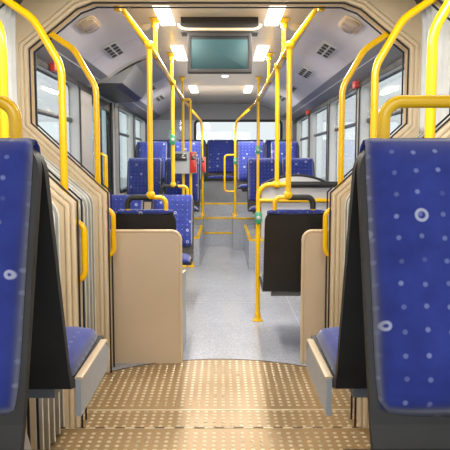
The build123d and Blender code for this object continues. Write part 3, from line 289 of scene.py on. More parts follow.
polish = add(tree, "ShaderNodeMapRange", {"Value": trodden, "To Min": 0.19, "To Max": 0.30})
fill(tree, shader, {"Base Color": fleck, "Roughness": polish})
relief(tree, shader, place, 5, 0.15, 1.0)

# %% [markdown]
# The turntable is aluminium tread plate, worn brighter where people walk.
# Its warm tone is a painted reflection of the beige panels that it mirrors.
# Its gloss follows the same blotches as its shade, because both come from wear.

# %% Tread plate, studs, lenses and zinc
# Aluminium tread plate: a warm, half-metallic sheen, brighter where worn; its warmth is a painted reflection.
tread_metal, tree, shader, place = start_material("warm_aluminium_tread_plate", Metallic=0.4)
wear = blotches(tree, place, 420, detail=1.5)
# Both shades are painted warm, a painted reflection of the beige panels; the blotches between them are wear.
wear_and_warm_reflection = add(tree, "ShaderNodeMix", {0: wear, 6: "a28459", 7: "b1946b"}, data_type="RGBA")
worn_gloss = add(tree, "ShaderNodeMapRange", {"Value": wear, "To Min": 0.36, "To Max": 0.30})
fill(tree, shader, {"Base Color": wear_and_warm_reflection, "Roughness": worn_gloss})
relief(tree, shader, place, 3, 0.04)
# The same aluminium where soles rub it: paler and brighter.
stud_metal = plain_material("worn_bright_stud", "dfd1b3", "cebe9c", 160, 0.3, 3, 0.03, Metallic=0.35)
# Moulded acrylic lens: deep red under a hard gloss.
red_lens = plain_material("red_lens", "a61210", "8d0d0c", 60, 0.12, 6, 0.1, Coat_Weight=0.6)
# Zinc plating: a bright grey metal, slightly dulled.
steel_grey = plain_material("zinc_plated_steel", "b4b7bb", "9c9fa4", 40, 0.32, 3, 0.05, Metallic=0.9)

# %% [markdown]
# Each CAD node that keeps its shape takes the finish of what it is made of.
# The walls, ceilings, hoops, wheels, tail lamps and the wheelchair rest have
# two finishes or more, and get theirs in cells further down.

# %% Finishes of the CAD nodes


def finish_nodes(finish, names):
    """Gives each of these CAD nodes one finish."""
    for name in names:
        slots = frame["nodes"][name].data.materials
        slots.clear()
        slots.append(finish)


FINISHES = {
    body_paint: ["rear_roof", "fore_roof"],
    rail_coat: ["rear_portal_rails", "mid_ring_rails", "fore_handrails", "rear_handrails", "rear_seat_grips"],
    underseal: ["rear_chassis", "fore_chassis", "rear_joint_frame", "fore_joint_frame", "plate_carrier"],
    cast_iron_paint: ["rear_axle", "fore_axle", "engine_block"],
    vinyl: ["rear_floor", "fore_floor", "rear_platform"],
    grey_side: ["rear_arch_boxes", "fore_arch_boxes", "ticket_boxes"],
    beige_laminate: ["partitions"],
    black_moulding: ["rear_seat_shells", "fore_seat_shells", "monitor"],
    grey_frame_paint: ["rear_seat_frames", "fore_seat_frames"],
    window_glass: ["kerb_panes", "street_panes", "rear_pane", "fore_panes", "draught_screen"],
    door_glass: ["door_pane_front", "door_pane_rear"],
    black_frame_paint: ["door_leaf_front", "door_leaf_rear"],
    opal_lamp: ["rear_ceiling_lamps"],
    tread_metal: ["turntable_plate"],
}
for finish, names in FINISHES.items():
    finish_nodes(finish, names)
print(sum(len(names) for names in FINISHES.values()), "CAD nodes have one plain finish")

# %% [markdown]
# ## Shapes
#
# Every shape here is a list of points and a list of faces, made by a formula.
# Most fittings of a bus are sections carried along a line: a gasket runs round
# its window, a hoop trim round its ring, a tape along its step. One function
# joins rows of points into a skin, and one carries a section along a flat
# path and mitres the corners.

# %% Points, skins and sweeps
X, Y, Z = Vector((1, 0, 0)), Vector((0, 1, 0)), Vector((0, 0, 1))


def at(x, y, up):
    """A point by its place from the pivot and its height above the floor."""
    return Vector((x, PIVOT_Y + y, FLOOR_Z + up))


def skin(rows, ring=False, loop=False):
    """Quads between rows of points. ring closes each row, loop joins the last row to the first."""
    across = len(rows[0])
    points = [point for row in rows for point in row]
    faces = []
    for i in range(len(rows) if loop else len(rows) - 1):
        for j in range(across if ring else across - 1):
            a, b = i * across, ((i + 1) % len(rows)) * across
            k = (j + 1) % across
            faces.append((a + j, a + k, b + k, b + j))
    if ring and not loop:
        faces.append(tuple(range(across)))
        faces.append(tuple((len(rows) - 1) * across + j for j in range(across)))
    return points, faces


def sweep(path, section, across, loop=False):
    """Carries a closed section along a flat path. Its first number goes sideways, its second along across."""
    rows = []
    count = len(path)
    for i, point in enumerate(path):
        headings = []
        if i > 0 or loop:
            headings.append((point - path[i - 1]).normalized())
        if i < count - 1 or loop:
            headings.append((path[(i + 1) % count] - point).normalized())
        sides = [across.cross(heading) for heading in headings]
        side = sum(sides, Vector()).normalized()
        side /= max(0.35, side.dot(sides[0]))
        rows.append([point + side * a + across * b for a, b in section])
    return skin(rows, ring=True, loop=loop)


def arc(centre_a, centre_b, radius, start, end, steps):
    """Points of an arc in any plane's two numbers, angles in degrees."""
    turns = [math.radians(start + (end - start) * i / steps) for i in range(steps + 1)]
    return [(centre_a + radius * math.cos(t), centre_b + radius * math.sin(t)) for t in turns]


def round_section(radius, steps=12):
    """Section of a round bar."""
    return arc(0, 0, radius, 0, 360 - 360 / steps, steps - 1)


def bead_section(width, depth, corner, face=1):
    """Flat bead with two rounded edges, its back at zero depth. face -1 makes it stand the other way."""
    half = width / 2
    bead = ([(-half, 0)] + arc(corner - half, depth - corner, corner, 180, 90, 3)
            + arc(half - corner, depth - corner, corner, 90, 0, 3) + [(half, 0)])
    return [(a, face * b) for a, b in bead]


# %% [markdown]
# A turned piece is a profile swung about an axis. A moulded block is a
# rounded outline in a few layers, the last ones drawn in, so that its front
# edge is soft.

# %% Turned pieces and moulded blocks


def turned(profile, place, axis, steps=20, loop=False):
    """Turns (radius, height) pairs about an axis through place. loop closes the profile, for a ring."""
    axis = Vector(axis).normalized()
    side = axis.orthogonal().normalized()
    other = axis.cross(side)
    rows = []
    for radius, height in profile:
        rows.append([place + axis * height + (side * math.cos(t) + other * math.sin(t)) * radius
                     for t in (math.tau * i / steps for i in range(steps))])
    return skin(rows, ring=True, loop=loop)


def rounded_outline(width, height, corner, steps=4):
    """Rounded rectangle about zero, counter-clockwise."""
    a, b = width / 2 - corner, height / 2 - corner
    return (arc(a, b, corner, 0, 90, steps) + arc(-a, b, corner, 90, 180, steps)
            + arc(-a, -b, corner, 180, 270, steps) + arc(a, -b, corner, 270, 360, steps))


def moulded_block(place, right, up, width, height, depth, corner, edge, steps=4):
    """Rounded block that stands depth high on the plane of right and up, with a soft front edge."""
    right, up = Vector(right).normalized(), Vector(up).normalized()
    out = right.cross(up)
    layers = ((edge, 0), (0, 0.001), (0, depth - edge), (edge * 0.3, depth - edge * 0.3), (edge, depth))
    rows = []
    for inset, level in layers:
        outline = rounded_outline(width - 2 * inset, height - 2 * inset, max(0.0008, corner - inset), steps)
        rows.append([place + right * a + up * b + out * level for a, b in outline])
    return skin(rows, ring=True)


def straight_tube(start, end, radius, edge=0.004):
    """Sleeve with softened ends."""
    long = (end - start).length
    return turned([(radius - edge, 0), (radius, edge), (radius, long - edge), (radius - edge, long)],
                  start, end - start, 14)


def mirrored(shape):
    """The same shape on the other side of the bus, its faces turned outwards again."""
    points, faces = shape
    return [Vector((-p.x, p.y, p.z)) for p in points], [tuple(reversed(face)) for face in faces]


# %% [markdown]
# Shapes of one material are joined into one piece that rides on its car body.
# Points that meet are merged, faces point outwards, and only edges sharper
# than a given angle are shaded as edges.

# %% Build a piece


def build(name, shapes, finish, body=None, sharp=35):
    """Joins shapes into one piece of one finish, closed seams first, and lets it ride on a body."""
    points, faces = [], []
    for shape_points, shape_faces in shapes:
        first = len(points)
        points += shape_points
        faces += [[first + i for i in face] for face in shape_faces]
    mesh = bpy.data.meshes.new(name)
    mesh.from_pydata(points, [], faces)
    cleaner = bmesh.new()
    cleaner.from_mesh(mesh)
    bmesh.ops.remove_doubles(cleaner, verts=cleaner.verts, dist=1e-5)
    bmesh.ops.recalc_face_normals(cleaner, faces=cleaner.faces)
    cleaner.to_mesh(mesh)
    cleaner.free()
    mesh.materials.append(finish)
    mesh.shade_smooth()
    mesh.set_sharp_from_angle(angle=math.radians(sharp))
    piece = bpy.data.objects.new(name, mesh)
    bpy.context.scene.collection.objects.link(piece)
    if body:
        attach(piece, body)
    return piece


# %% [markdown]
# ## Bellows of the gangway
#
# Between the rings hangs a pleated skin of coated cloth. Its roof is dark,
# and its sides above the elbow are white, with a painted glow for the light
# that comes through them from outside. A cosine gives the folds their round
# crests, and the path across is an inverted U with round shoulders. Skin and
# lining stand for the plain CAD bellows, which is hidden.

# %% Pleated skin
FOLDS = 8
FOLD_STEPS = 10
SKIN_MID = 1.165
SKIN_TOP_UP = 2.235
SKIN_CORNER = 0.26
SKIN_FOOT_UP = -0.07
PLEAT = 0.044
CLOTH = 0.003
CLOTH_NEAR, CLOTH_FAR = 0.0403, 0.7297
HALVES = (("rear", "rear_car", 1), ("fore", "fore_car", -1))


def skin_profile(grow):
    """The skin's line across the bus in X and height, offset outwards by grow."""
    half, top, corner = SKIN_MID + grow, SKIN_TOP_UP + grow, SKIN_CORNER + grow
    right = [(half, SKIN_FOOT_UP), (half, 0.5), (half, 1.0), (half, 1.4), (half, 1.7)]
    right += arc(half - corner, top - corner, corner, 0, 90, 10)
    right += [(0.6, top), (0.3, top)]
    return right + [(0, top)] + [(-x, z) for x, z in reversed(right)]


def pleated(y0, y1, profile, depth, thick):
    """Closed thin skin: for each step along the bus, its outer line and its inner line back."""
    rows = []
    for i in range(FOLDS * FOLD_STEPS + 1):
        wave = -depth * math.cos(math.tau * i / FOLD_STEPS)
        y = y0 + (y1 - y0) * i / (FOLDS * FOLD_STEPS)
        outer, inner = profile(wave + thick / 2), profile(wave - thick / 2)
        rows.append([at(x, y, up) for x, up in outer + inner[::-1]])
    return skin(rows, ring=True)


# PVC-coated polyester: a soft sheen, dark and dusty on top, white at the sides with a painted glow.
bellows_cloth, tree, shader, place = start_material("coated_bellows_cloth", Roughness=0.62,
                                                     Emission_Strength=0.16)
height = add(tree, "ShaderNodeSeparateXYZ", {0: place}).outputs["Z"]
roof_part = add(tree, "ShaderNodeMapRange", {
    "Value": height, "From Min": FLOOR_Z + 2.0, "From Max": FLOOR_Z + 2.06})
low_part = add(tree, "ShaderNodeMapRange", {
    "Value": height, "From Min": FLOOR_Z + 1.42, "From Max": FLOOR_Z + 1.36})
dark_share = add(tree, "ShaderNodeMath", {0: roof_part, 1: low_part}, operation="MAXIMUM")
soiled = blotches(tree, place, 180, 0.35, 0.7)
white_cloth = add(tree, "ShaderNodeMix", {0: soiled, 6: "cfd0ca", 7: "dfe0db"}, data_type="RGBA")
dark_cloth = add(tree, "ShaderNodeMix", {0: soiled, 6: "4d4a3d", 7: "5f5b4b"}, data_type="RGBA")
# Painted glow: the white sides shine faintly, for the light that comes through them.
painted_daylight_glow = add(tree, "ShaderNodeMix", {0: dark_share, 6: "ffffff", 7: "000000"}, data_type="RGBA")
fill(tree, shader, {
    "Base Color": add(tree, "ShaderNodeMix", {0: dark_share, 6: white_cloth, 7: dark_cloth}, data_type="RGBA"),
    "Emission Color": painted_daylight_glow})
relief(tree, shader, place, 2.5, 0.12)

for name, body, way in HALVES:
    folds = pleated(way * CLOTH_NEAR, way * CLOTH_FAR, skin_profile, PLEAT, CLOTH)
    cover = build(name + "_bellows_skin", [folds], bellows_cloth, sharp=180)
    print(cover.name, len(cover.data.polygons), "faces")

# %% [markdown]
# The lining inside is a second, shallower set of pleats: straight up from the
# plate, out over the knee and up to the elbow. Every fold has a cream welt
# along its crest, which catches the light on the slope.

# %% Pleated side lining
RING_LOW = 0.690
RING_HIGH = 1.110
KNEE_UP = 1.020
ELBOW_UP = 1.410
LINING_OUT = 0.034
LINING_FOOT_UP = 0.010
LINING_PLEAT = 0.012
KNEE_ROUND = 0.05
KNEE_STEPS = 6


def lining_profile(grow):
    """Right side of the lining, with a rounded knee."""
    low = (RING_LOW + LINING_OUT + grow, LINING_FOOT_UP)
    knee = (RING_LOW + LINING_OUT + grow, KNEE_UP)
    top = (RING_HIGH + LINING_OUT + grow, ELBOW_UP - 0.03)
    slope = Vector((top[0] - knee[0], top[1] - knee[1])).normalized()
    before = (knee[0], knee[1] - KNEE_ROUND)
    after = (knee[0] + slope.x * KNEE_ROUND, knee[1] + slope.y * KNEE_ROUND)
    bend = []
    for i in range(KNEE_STEPS + 1):
        t = i / KNEE_STEPS
        bend.append(tuple((1 - t) ** 2 * a + 2 * t * (1 - t) * b + t * t * c
                          for a, b, c in zip(before, knee, after)))
    return [low, (low[0], 0.5)] + bend + [((after[0] + top[0]) / 2, (after[1] + top[1]) / 2), top]


# Coated lining cloth: grey-beige and softly glossy, hand-worn in patches.
lining_cloth, tree, shader, place = start_material("grey_beige_lining_cloth", Roughness=0.5)
soiled = blotches(tree, place, 140, 0.35, 0.7)
lining_grey = add(tree, "ShaderNodeMix", {0: soiled, 6: "8e908c", 7: "9fa19d"}, data_type="RGBA")
fill(tree, shader, {"Base Color": lining_grey})
relief(tree, shader, place, 3, 0.15)

# Extruded vinyl piping: pale, with a narrow highlight along each welt.
welt_vinyl = plain_material("cream_welt_vinyl", "e9e4d8", "dcd5c6", 90, 0.3, 3, 0.05, Coat_Weight=0.3)
WELT = 0.0042
END_SHARE = 0.012
for name, body, way in HALVES:
    y0, y1 = way * CLOTH_NEAR, way * CLOTH_FAR
    folds = pleated(y0, y1, lining_profile, LINING_PLEAT, CLOTH)
    build(name + "_side_lining", [folds, mirrored(folds)], lining_cloth, sharp=180)
    welts = []
    for i in range(FOLDS + 1):
        y = y0 + (y1 - y0) * min(max(i / FOLDS, END_SHARE), 1 - END_SHARE)
        crest = [at(x, y, up) for x, up in lining_profile(-LINING_PLEAT)]
        welt = sweep(crest, round_section(WELT, 8), Y)
        welts += [welt, mirrored(welt)]
    build(name + "_lining_welts", welts, welt_vinyl, sharp=60)
print(FOLDS + 1, "welts on each side of each half")

# %% [markdown]
# The rear half hangs between the rear car and the mid ring, the fore half
# between the ring and the fore car. Skin, lining and welts have their places
# baked into their points, the flat size of each cloth is reckoned, and the
# plain CAD bellows is hidden.

# %% Bake the cloth in place and hide the CAD bellows


def cloth_cut(profile, depth):
    """Flat width across and length along of one pleated half."""
    line = [Vector(p) for p in profile(0)]
    across = sum((b - a).length for a, b in zip(line, line[1:]))
    steps = FOLDS * FOLD_STEPS
    levels = [-depth * math.cos(math.tau * i / FOLD_STEPS) for i in range(steps + 1)]
    step = (CLOTH_FAR - CLOTH_NEAR) / steps
    along = sum(math.hypot(step, b - a) for a, b in zip(levels, levels[1:]))
    return across, along


for name, body, way in HALVES:
    start, end = at(0, way * CLOTH_FAR, 1), at(0, way * CLOTH_NEAR, 1)
    for part, profile, depth, sides in (("_bellows_skin", skin_profile, PLEAT, 1),
                                        ("_side_lining", lining_profile, LINING_PLEAT, 2)):
        cloth = bpy.data.objects[name + part]
        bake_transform(cloth)
        across, along = cloth_cut(profile, depth)
    welts = bpy.data.objects[name + "_lining_welts"]
    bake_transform(welts)
    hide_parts(name + "_bellows")
    print(name, "half of the bellows bends between", body, "and the mid ring")

# %% [markdown]
# ## Hoops round the gangway
#
# Each ring is edged with a cream moulding: two rounded ridges along the inner
# edge of its flat face, and a black rubber line where the cloth is clamped.
# The ring's own outline is an inverted U with a knee, so the section is
# carried along that line, half on one side and half on the other.

# %% Ridges and clamping line on the rings
RING_FOOT_UP = 0.004
ELBOW_TOP_UP = 1.870
HAUNCH = (0.810, 2.110)
CROWN = (0.700, 2.150)
RIDGE_OFFSETS = (0.014, 0.040)
CLAMP_OFFSET = 0.061


def ring_line(grow):
    """The opening's outline in X and height, offset into the ring by grow."""
    right = [(RING_LOW, RING_FOOT_UP), (RING_LOW, KNEE_UP), (RING_HIGH, ELBOW_UP), (RING_HIGH, ELBOW_TOP_UP),
             HAUNCH, CROWN]
    path = [Vector((x, 0, up)) for x, up in right] + [Vector((-x, 0, up)) for x, up in reversed(right)]
    moved = []
    for i, point in enumerate(path):
        near = [path[i - 1]] if i else []
        far = [path[i + 1]] if i + 1 < len(path) else []
        headings = [(point - p).normalized() for p in near] + [(p - point).normalized() for p in far]
        sides = [heading.cross(Y) * -1 for heading in headings]
        side = sum(sides, Vector()).normalized()
        moved.append(point - side * (grow / max(0.5, side.dot(sides[0]))))
    return moved


def ring_sweep(grow, y, section):
    """A section carried round the ring's face at y."""
    return sweep([at(p.x, y, p.z) for p in ring_line(grow)], section, Y)


RINGS = [
    ("rear_portal", "rear_car", 0.7300, 0.8300),
    ("mid_ring", "mid_ring", -0.0400, 0.0400),
    ("fore_portal", "fore_car", -0.8300, -0.7300),
]
for name, body, y0, y1 in RINGS:
    ridges, lines = [], []
    for y, face in ((y0, -1), (y1, 1)):
        ridges += [ring_sweep(grow, y, bead_section(0.024, 0.009, 0.009, face)) for grow in RIDGE_OFFSETS]
        lines.append(ring_sweep(CLAMP_OFFSET, y, bead_section(0.009, 0.006, 0.003, face)))
    build(name + "_ridges", ridges, cream_moulding, body)
    build(name + "_clamp_lines", lines, window_rubber, body)
print("ridges on", len(RINGS), "rings")

# %% [markdown]
# ## Studs of the turntable plate
#
# The round plate is studded so that shoes grip it: raised buttons in straight
# rows, worn bright on top. Hundreds of equal buttons on a disc are work for
# Geometry Nodes: of a grid of points, those outside the disc and on the two
# strips across it are deleted, and a low cone is set on each of the others.
# The tree ends by making real faces, because the export drops instances.

# %% Studs by Geometry Nodes
STUD_PITCH = 0.0405
STUD_RADIUS = 0.0115
STUD_HEIGHT = 0.0022
PLATE_RADIUS = 0.985
RIM_MARGIN = 0.012
STRIP_MARGIN = 0.020
SEAM_Y = -0.046
BRIGHT_Y = 0.170


def size_group(name, sizes):
    """A Geometry Nodes tree with an input for each size, and those inputs."""
    tree = bpy.data.node_groups.new(name, "GeometryNodeTree")
    tree.interface.new_socket("Geometry", in_out="OUTPUT", socket_type="NodeSocketGeometry")
    for label, value in sizes.items():
        kind = "NodeSocketInt" if isinstance(value, int) else "NodeSocketFloat"
        tree.interface.new_socket(label, in_out="INPUT", socket_type=kind).default_value = value
    return tree, add(tree, "NodeGroupInput").outputs


def apart(tree, value, middle):
    """How far a value is from a middle."""
    off = add(tree, "ShaderNodeMath", {0: value, 1: middle}, operation="SUBTRACT")
    return add(tree, "ShaderNodeMath", {0: off}, operation="ABSOLUTE")


stud_tree, given = size_group("stud_field", {
    "Pitch": STUD_PITCH, "Plate Radius": PLATE_RADIUS, "Seam": SEAM_Y, "Bright Strip": BRIGHT_Y,
    "Stud Radius": STUD_RADIUS, "Stud Height": STUD_HEIGHT})
across = add(stud_tree, "ShaderNodeMath", {0: given["Plate Radius"], 1: 2.0}, operation="MULTIPLY")
in_a_row = add(stud_tree, "ShaderNodeMath", {0: across, 1: given["Pitch"]}, operation="DIVIDE")
columns = add(stud_tree, "ShaderNodeMath", {0: in_a_row}, operation="FLOOR")
field = add(stud_tree, "GeometryNodeMeshGrid", {
    "Size X": across, "Size Y": across, "Vertices X": columns, "Vertices Y": columns})
spot = add(stud_tree, "GeometryNodeInputPosition")
along = add(stud_tree, "ShaderNodeSeparateXYZ", {0: spot}).outputs["Y"]
from_middle = add(stud_tree, "ShaderNodeVectorMath", {0: spot}, operation="LENGTH")
rim = add(stud_tree, "ShaderNodeMath", {0: given["Plate Radius"], 1: RIM_MARGIN}, operation="SUBTRACT")
left_out = add(stud_tree, "ShaderNodeMath", {0: from_middle, 1: rim}, operation="GREATER_THAN")
for strip_name in ("Seam", "Bright Strip"):
    away = apart(stud_tree, along, given[strip_name])
    on_strip = add(stud_tree, "ShaderNodeMath", {0: away, 1: STRIP_MARGIN}, operation="LESS_THAN")
    left_out = add(stud_tree, "ShaderNodeMath", {0: left_out, 1: on_strip}, operation="MAXIMUM")
kept = add(stud_tree, "GeometryNodeDeleteGeometry", {"Geometry": field, "Selection": left_out})
top_radius = add(stud_tree, "ShaderNodeMath", {0: given["Stud Radius"], 1: 0.7}, operation="MULTIPLY")
stud = add(stud_tree, "GeometryNodeMeshCone", {
    "Vertices": 8, "Radius Top": top_radius, "Radius Bottom": given["Stud Radius"],
    "Depth": given["Stud Height"]})
studs = add(stud_tree, "GeometryNodeInstanceOnPoints", {"Points": kept, "Instance": stud})
real = add(stud_tree, "GeometryNodeRealizeInstances", {"Geometry": studs})
finished = add(stud_tree, "GeometryNodeSetMaterial", {"Geometry": real, "Material": stud_metal})
add(stud_tree, "NodeGroupOutput", {"Geometry": finished})

# %% [markdown]
# The tree is run on a mesh of one point. What it makes is kept as a plain
# mesh, and the modifier goes before the piece rides on its body.

# %% Run the tree


def grown(name, tree, values, place, body):
    """Runs a Geometry Nodes tree, keeps its result as a plain mesh, moved to place, on a body."""
    seed = bpy.data.meshes.new(name + "_seed")
    seed.from_pydata([(0, 0, 0)], [], [])
    holder = bpy.data.objects.new(name + "_seed", seed)
    bpy.context.scene.collection.objects.link(holder)
    modifier = holder.modifiers.new(name, "NODES")
    modifier.node_group = tree
    for socket in tree.interface.items_tree:
        if getattr(socket, "in_out", "") == "INPUT" and socket.name in values:
            modifier[socket.identifier] = values[socket.name]
    ready = holder.evaluated_get(bpy.context.evaluated_depsgraph_get())
    mesh = bpy.data.meshes.new_from_object(ready)
    bpy.data.objects.remove(holder)
    mesh.transform(Matrix.Translation(place))
    mesh.name = name
    piece = bpy.data.objects.new(name, mesh)
    bpy.context.scene.collection.objects.link(piece)
    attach(piece, body)
    print(name, "has", len(mesh.polygons), "faces")
    return piece


grown("plate_studs", stud_tree, {"Stud Height": STUD_HEIGHT}, at(0, 0, -0.0004), "mid_ring")

# %% [markdown]
# The plate is in two halves that meet at a strip with long slots, drawn as
# dark blocks in painted shade for their hollows. A black rubber ring closes
# the gap round the plate, and a bright strip runs across it. Strips and ring
# are rounded beads along a line and a circle.

# %% Seam strip, slots and rubber ring
SLOTS = 21
SLOTS_REACH = 0.91
strip = [at(x, SEAM_Y, 0.0) for x in (-0.980, 0.980)]
bright_strip = [at(x, BRIGHT_Y, 0.0) for x in (-0.960, 0.960)]
# Painted shade in the hollows of the slots: dark brown and dull.
slot_shade = plain_material("slot_hollow_in_painted_shade", "5b3d22", "4a311b", 40, 0.6, 3, 0.1)
build("plate_seam_strip", [sweep(strip, bead_section(0.012, 0.0020, 0.0009), Z)], stud_metal, "mid_ring")
build("plate_bright_strip", [sweep(bright_strip, bead_section(0.012, 0.0024, 0.0010), Z)], stud_metal,
      "mid_ring")
slots = []
for i in range(SLOTS):
    place = at(SLOTS_REACH * (2 * i / (SLOTS - 1) - 1), SEAM_Y, 0.0018)
    slots.append(moulded_block(place, X, Y, 0.046, 0.012, 0.0010, 0.004, 0.0004, steps=3))
build("plate_seam_slots", slots, slot_shade, "mid_ring")
circle = [at(x, y, 0.0) for x, y in arc(0, 0, 0.989, 0, 355, 71)]
build("plate_edge_rubber", [sweep(circle, bead_section(0.007, 0.0016, 0.0007), Z, loop=True)], window_rubber,
      "mid_ring")
print(len(slots), "slots in the seam strip")

# %% [markdown]
# ## Yellow edges and floor seams
#
# Every step and platform has a yellow nosing of rubber that folds over its
# edge, so that it can be seen. The vinyl sheets of the low floor meet in
# welded seams, which show as thin grey cords.

# %% Step nosings and welded seams
WALL_IN = 1.150
STAIR_LEFT, STAIR_RIGHT = -0.250, 0.170
STEPS, STEP_Y, STEP_GOING, STEP_UP = 2, 6.380, 0.220, 0.200
PODIUM_UP, PODIUM_Y = 0.600, 6.820
SIDE_BLOCK_UP, SIDE_BLOCK_Y = 0.450, 5.953
PLATFORM_UP = 0.350
KERB_PLATFORM_X, KERB_PLATFORM_Y = -0.250, 4.54
STREET_PLATFORM_X, STREET_PLATFORM_Y = 0.320, 4.30
NOSING_GAP = 0.002
# Ribbed yellow rubber: matt, and dirty in the ribs.
nosing_rubber = plain_material("yellow_nosing_rubber", "f0c21c", "dcae10", 70, 0.5, 3, 0.2)
NOSING = [(-0.0008, 0.0), (-0.0008, 0.0022), (0.034, 0.0022), (0.034, 0.0)]
NOSING_DROP = [(0.0, 0.002), (-0.0022, 0.002), (-0.0022, -0.022), (0.0, -0.022)]


def nosing(x0, x1, y, up):
    """Angle strip along an edge across the bus: a flat on top and a short drop in front."""
    return [skin([[at(x, y + a, up + b) for a, b in section] for x in (x0, x1)], ring=True)
            for section in (NOSING, NOSING_DROP)]


def side_nosing(x, way, y0, y1, up):
    """The same along an edge that runs with the bus. Its flat lies on the side that way points to."""
    return [skin([[at(x + way * a, y, up + b) for a, b in section] for y in (y0, y1)], ring=True)
            for section in (NOSING, NOSING_DROP)]


tapes = []
for i in range(STEPS):
    edge_y, edge_up = STEP_Y + i * STEP_GOING, (i + 1) * STEP_UP
    tapes += nosing(STAIR_LEFT + NOSING_GAP, STAIR_RIGHT - NOSING_GAP, edge_y, edge_up)
tapes += nosing(-WALL_IN, WALL_IN, PODIUM_Y, PODIUM_UP)
for x, way in ((STAIR_LEFT, -1), (STAIR_RIGHT, 1)):
    tapes += side_nosing(x, way, SIDE_BLOCK_Y, PODIUM_Y - NOSING_GAP, SIDE_BLOCK_UP)
tapes += side_nosing(KERB_PLATFORM_X, -1, KERB_PLATFORM_Y, SIDE_BLOCK_Y, PLATFORM_UP)
tapes += side_nosing(STREET_PLATFORM_X, 1, STREET_PLATFORM_Y, SIDE_BLOCK_Y, PLATFORM_UP)
tapes += nosing(-WALL_IN, KERB_PLATFORM_X - NOSING_GAP, KERB_PLATFORM_Y, PLATFORM_UP)
tapes += nosing(STREET_PLATFORM_X + NOSING_GAP, WALL_IN, STREET_PLATFORM_Y, PLATFORM_UP)
tapes += nosing(-WALL_IN, STAIR_LEFT - NOSING_GAP, SIDE_BLOCK_Y, SIDE_BLOCK_UP)
tapes += nosing(STAIR_RIGHT + NOSING_GAP, WALL_IN, SIDE_BLOCK_Y, SIDE_BLOCK_UP)
build("step_nosings", tapes, nosing_rubber, "rear_car", sharp=30)

SEAM_LINES = [((-0.60, 1.0), (-0.60, 4.52)), ((0.60, 1.0), (0.60, 4.28)), ((-1.18, 2.6), (1.18, 2.6))]
seam_section = bead_section(0.004, 0.0008, 0.0003)
seams = [sweep([at(x, y, 0) for x, y in line], seam_section, Z) for line in SEAM_LINES]
build("floor_seams", seams, grey_side, "rear_car")
print(len(tapes) // 2, "nosings and", len(seams), "floor seams")

# %% [markdown]
# ## Seats
#
# The seats are moulded shells with two thin upholstered pads each: a cushion
# and a back pad that wraps over the shell's top. A pad is made as a closed
# crowned form: a grid of points follows the shell, its front face bulges, its
# sides pull in a little between the corners, and it closes on the shell. Then
# a short cloth simulation with pressure and no gravity puffs it up between
# its pinned edges, as foam under a tight cover does. Three forms are puffed,
# and all 27 seats are placed from them, each stretched to its own width.

# %% Pad forms
ACROSS = 22
ALONG = 26
CORNER_ROUND = 0.045
SIDE_PULL = 0.010
SHELL_GAP = 0.002
RIM_MERGE = 5e-4


def along_line(line, share):
    """Point and direction at a share from 0 to 1 of a line in Y and height."""
    legs = [(Vector(b) - Vector(a)).length for a, b in zip(line, line[1:])]
    left = share * sum(legs)
    for (a, b), leg in zip(zip(line, line[1:]), legs):
        if left <= leg + 1e-9:
            return Vector(a).lerp(Vector(b), left / leg), (Vector(b) - Vector(a)).normalized()
        left -= leg
    return Vector(line[-1]), (Vector(line[-1]) - Vector(line[-2])).normalized()


def pad_points(line, thick, width):
    """Points of the front face and of the back face of a pad, and where each lies in the flat pattern."""
    points, places, flats = [], [], []
    long = sum((Vector(b) - Vector(a)).length for a, b in zip(line, line[1:]))
    for layer in (1, 0):
        for j in range(ALONG + 1):
            v = 2 * j / ALONG - 1
            heading = along_line(line, (v + 1) / 2)[1]
            out = Vector((heading.y, -heading.x))
            for i in range(ACROSS + 1):
                u = 2 * i / ACROSS - 1
                corner = 1 - CORNER_ROUND * (abs(u) * abs(v)) ** 6
                pull = 1 - SIDE_PULL * (1 - v * v) * abs(u) ** 3
                depth = thick((v + 1) / 2) * layer
                crown = ((1 - abs(u) ** 5) * (1 - abs(v) ** 6)) ** 0.42
                base = along_line(line, (v * corner + 1) / 2)[0] + out * (SHELL_GAP + depth * crown)
                points.append(Vector((u * width / 2 * corner * pull, base.x, base.y)))
                flats.append((u * width / 2, v * long / 2))
                places.append((i, j, layer))
    return points, places, flats


def pad_form(name, line, thick, width):
    """Closed pad on a line of the shell. Its pattern lies flat on the UV map, in metres."""
    points, places, flats = pad_points(line, thick, width)
    across = ACROSS + 1
    size = across * (ALONG + 1)
    faces = []
    for j in range(ALONG):
        for i in range(ACROSS):
            a = j * across + i
            faces.append((a, a + 1, a + across + 1, a + across))
            faces.append((size + a, size + a + across, size + a + across + 1, size + a + 1))
    mesh = bpy.data.meshes.new(name)
    mesh.from_pydata(points, [], faces)
    chart = mesh.uv_layers.new(name="cut")
    for loop in mesh.loops:
        chart.data[loop.index].uv = flats[loop.vertex_index]
    held = mesh.attributes.new("held", "FLOAT", "POINT")
    on_rim = [i in (0, ACROSS) or j in (0, ALONG) for i, j, layer in places]
    for index, (i, j, layer) in enumerate(places):
        held.data[index].value = 1.0 if layer == 0 or on_rim[index] else 0.0
    cleaner = bmesh.new()
    cleaner.from_mesh(mesh)
    rim = [v for v in cleaner.verts if on_rim[v.index]]
    bmesh.ops.remove_doubles(cleaner, verts=rim, dist=RIM_MERGE)
    bmesh.ops.recalc_face_normals(cleaner, faces=cleaner.faces)
    cleaner.to_mesh(mesh)
    cleaner.free()
    mesh.shade_smooth()
    pad = bpy.data.objects.new(name, mesh)
    bpy.context.scene.collection.objects.link(pad)
    return pad


# %% [markdown]
# The three forms differ in the line they lie on and in their thickness. A
# back pad is thick up to the crest and thin where it wraps over and down.

# %% Cushion, low back and tall back
LOW_BACK, TALL_BACK = 0.460, 0.540
BACK_LEAN = 0.33
FORM_WIDTH = 0.400


def table_of(pairs):
    """A function that reads thickness from (share, value) pairs."""
    def read(share):
        """Thickness at a share of the line."""
        for (a, p), (b, q) in zip(pairs, pairs[1:]):
            if share <= b:
                return p + (q - p) * (share - a) / (b - a)
        return pairs[-1][1]
    return read


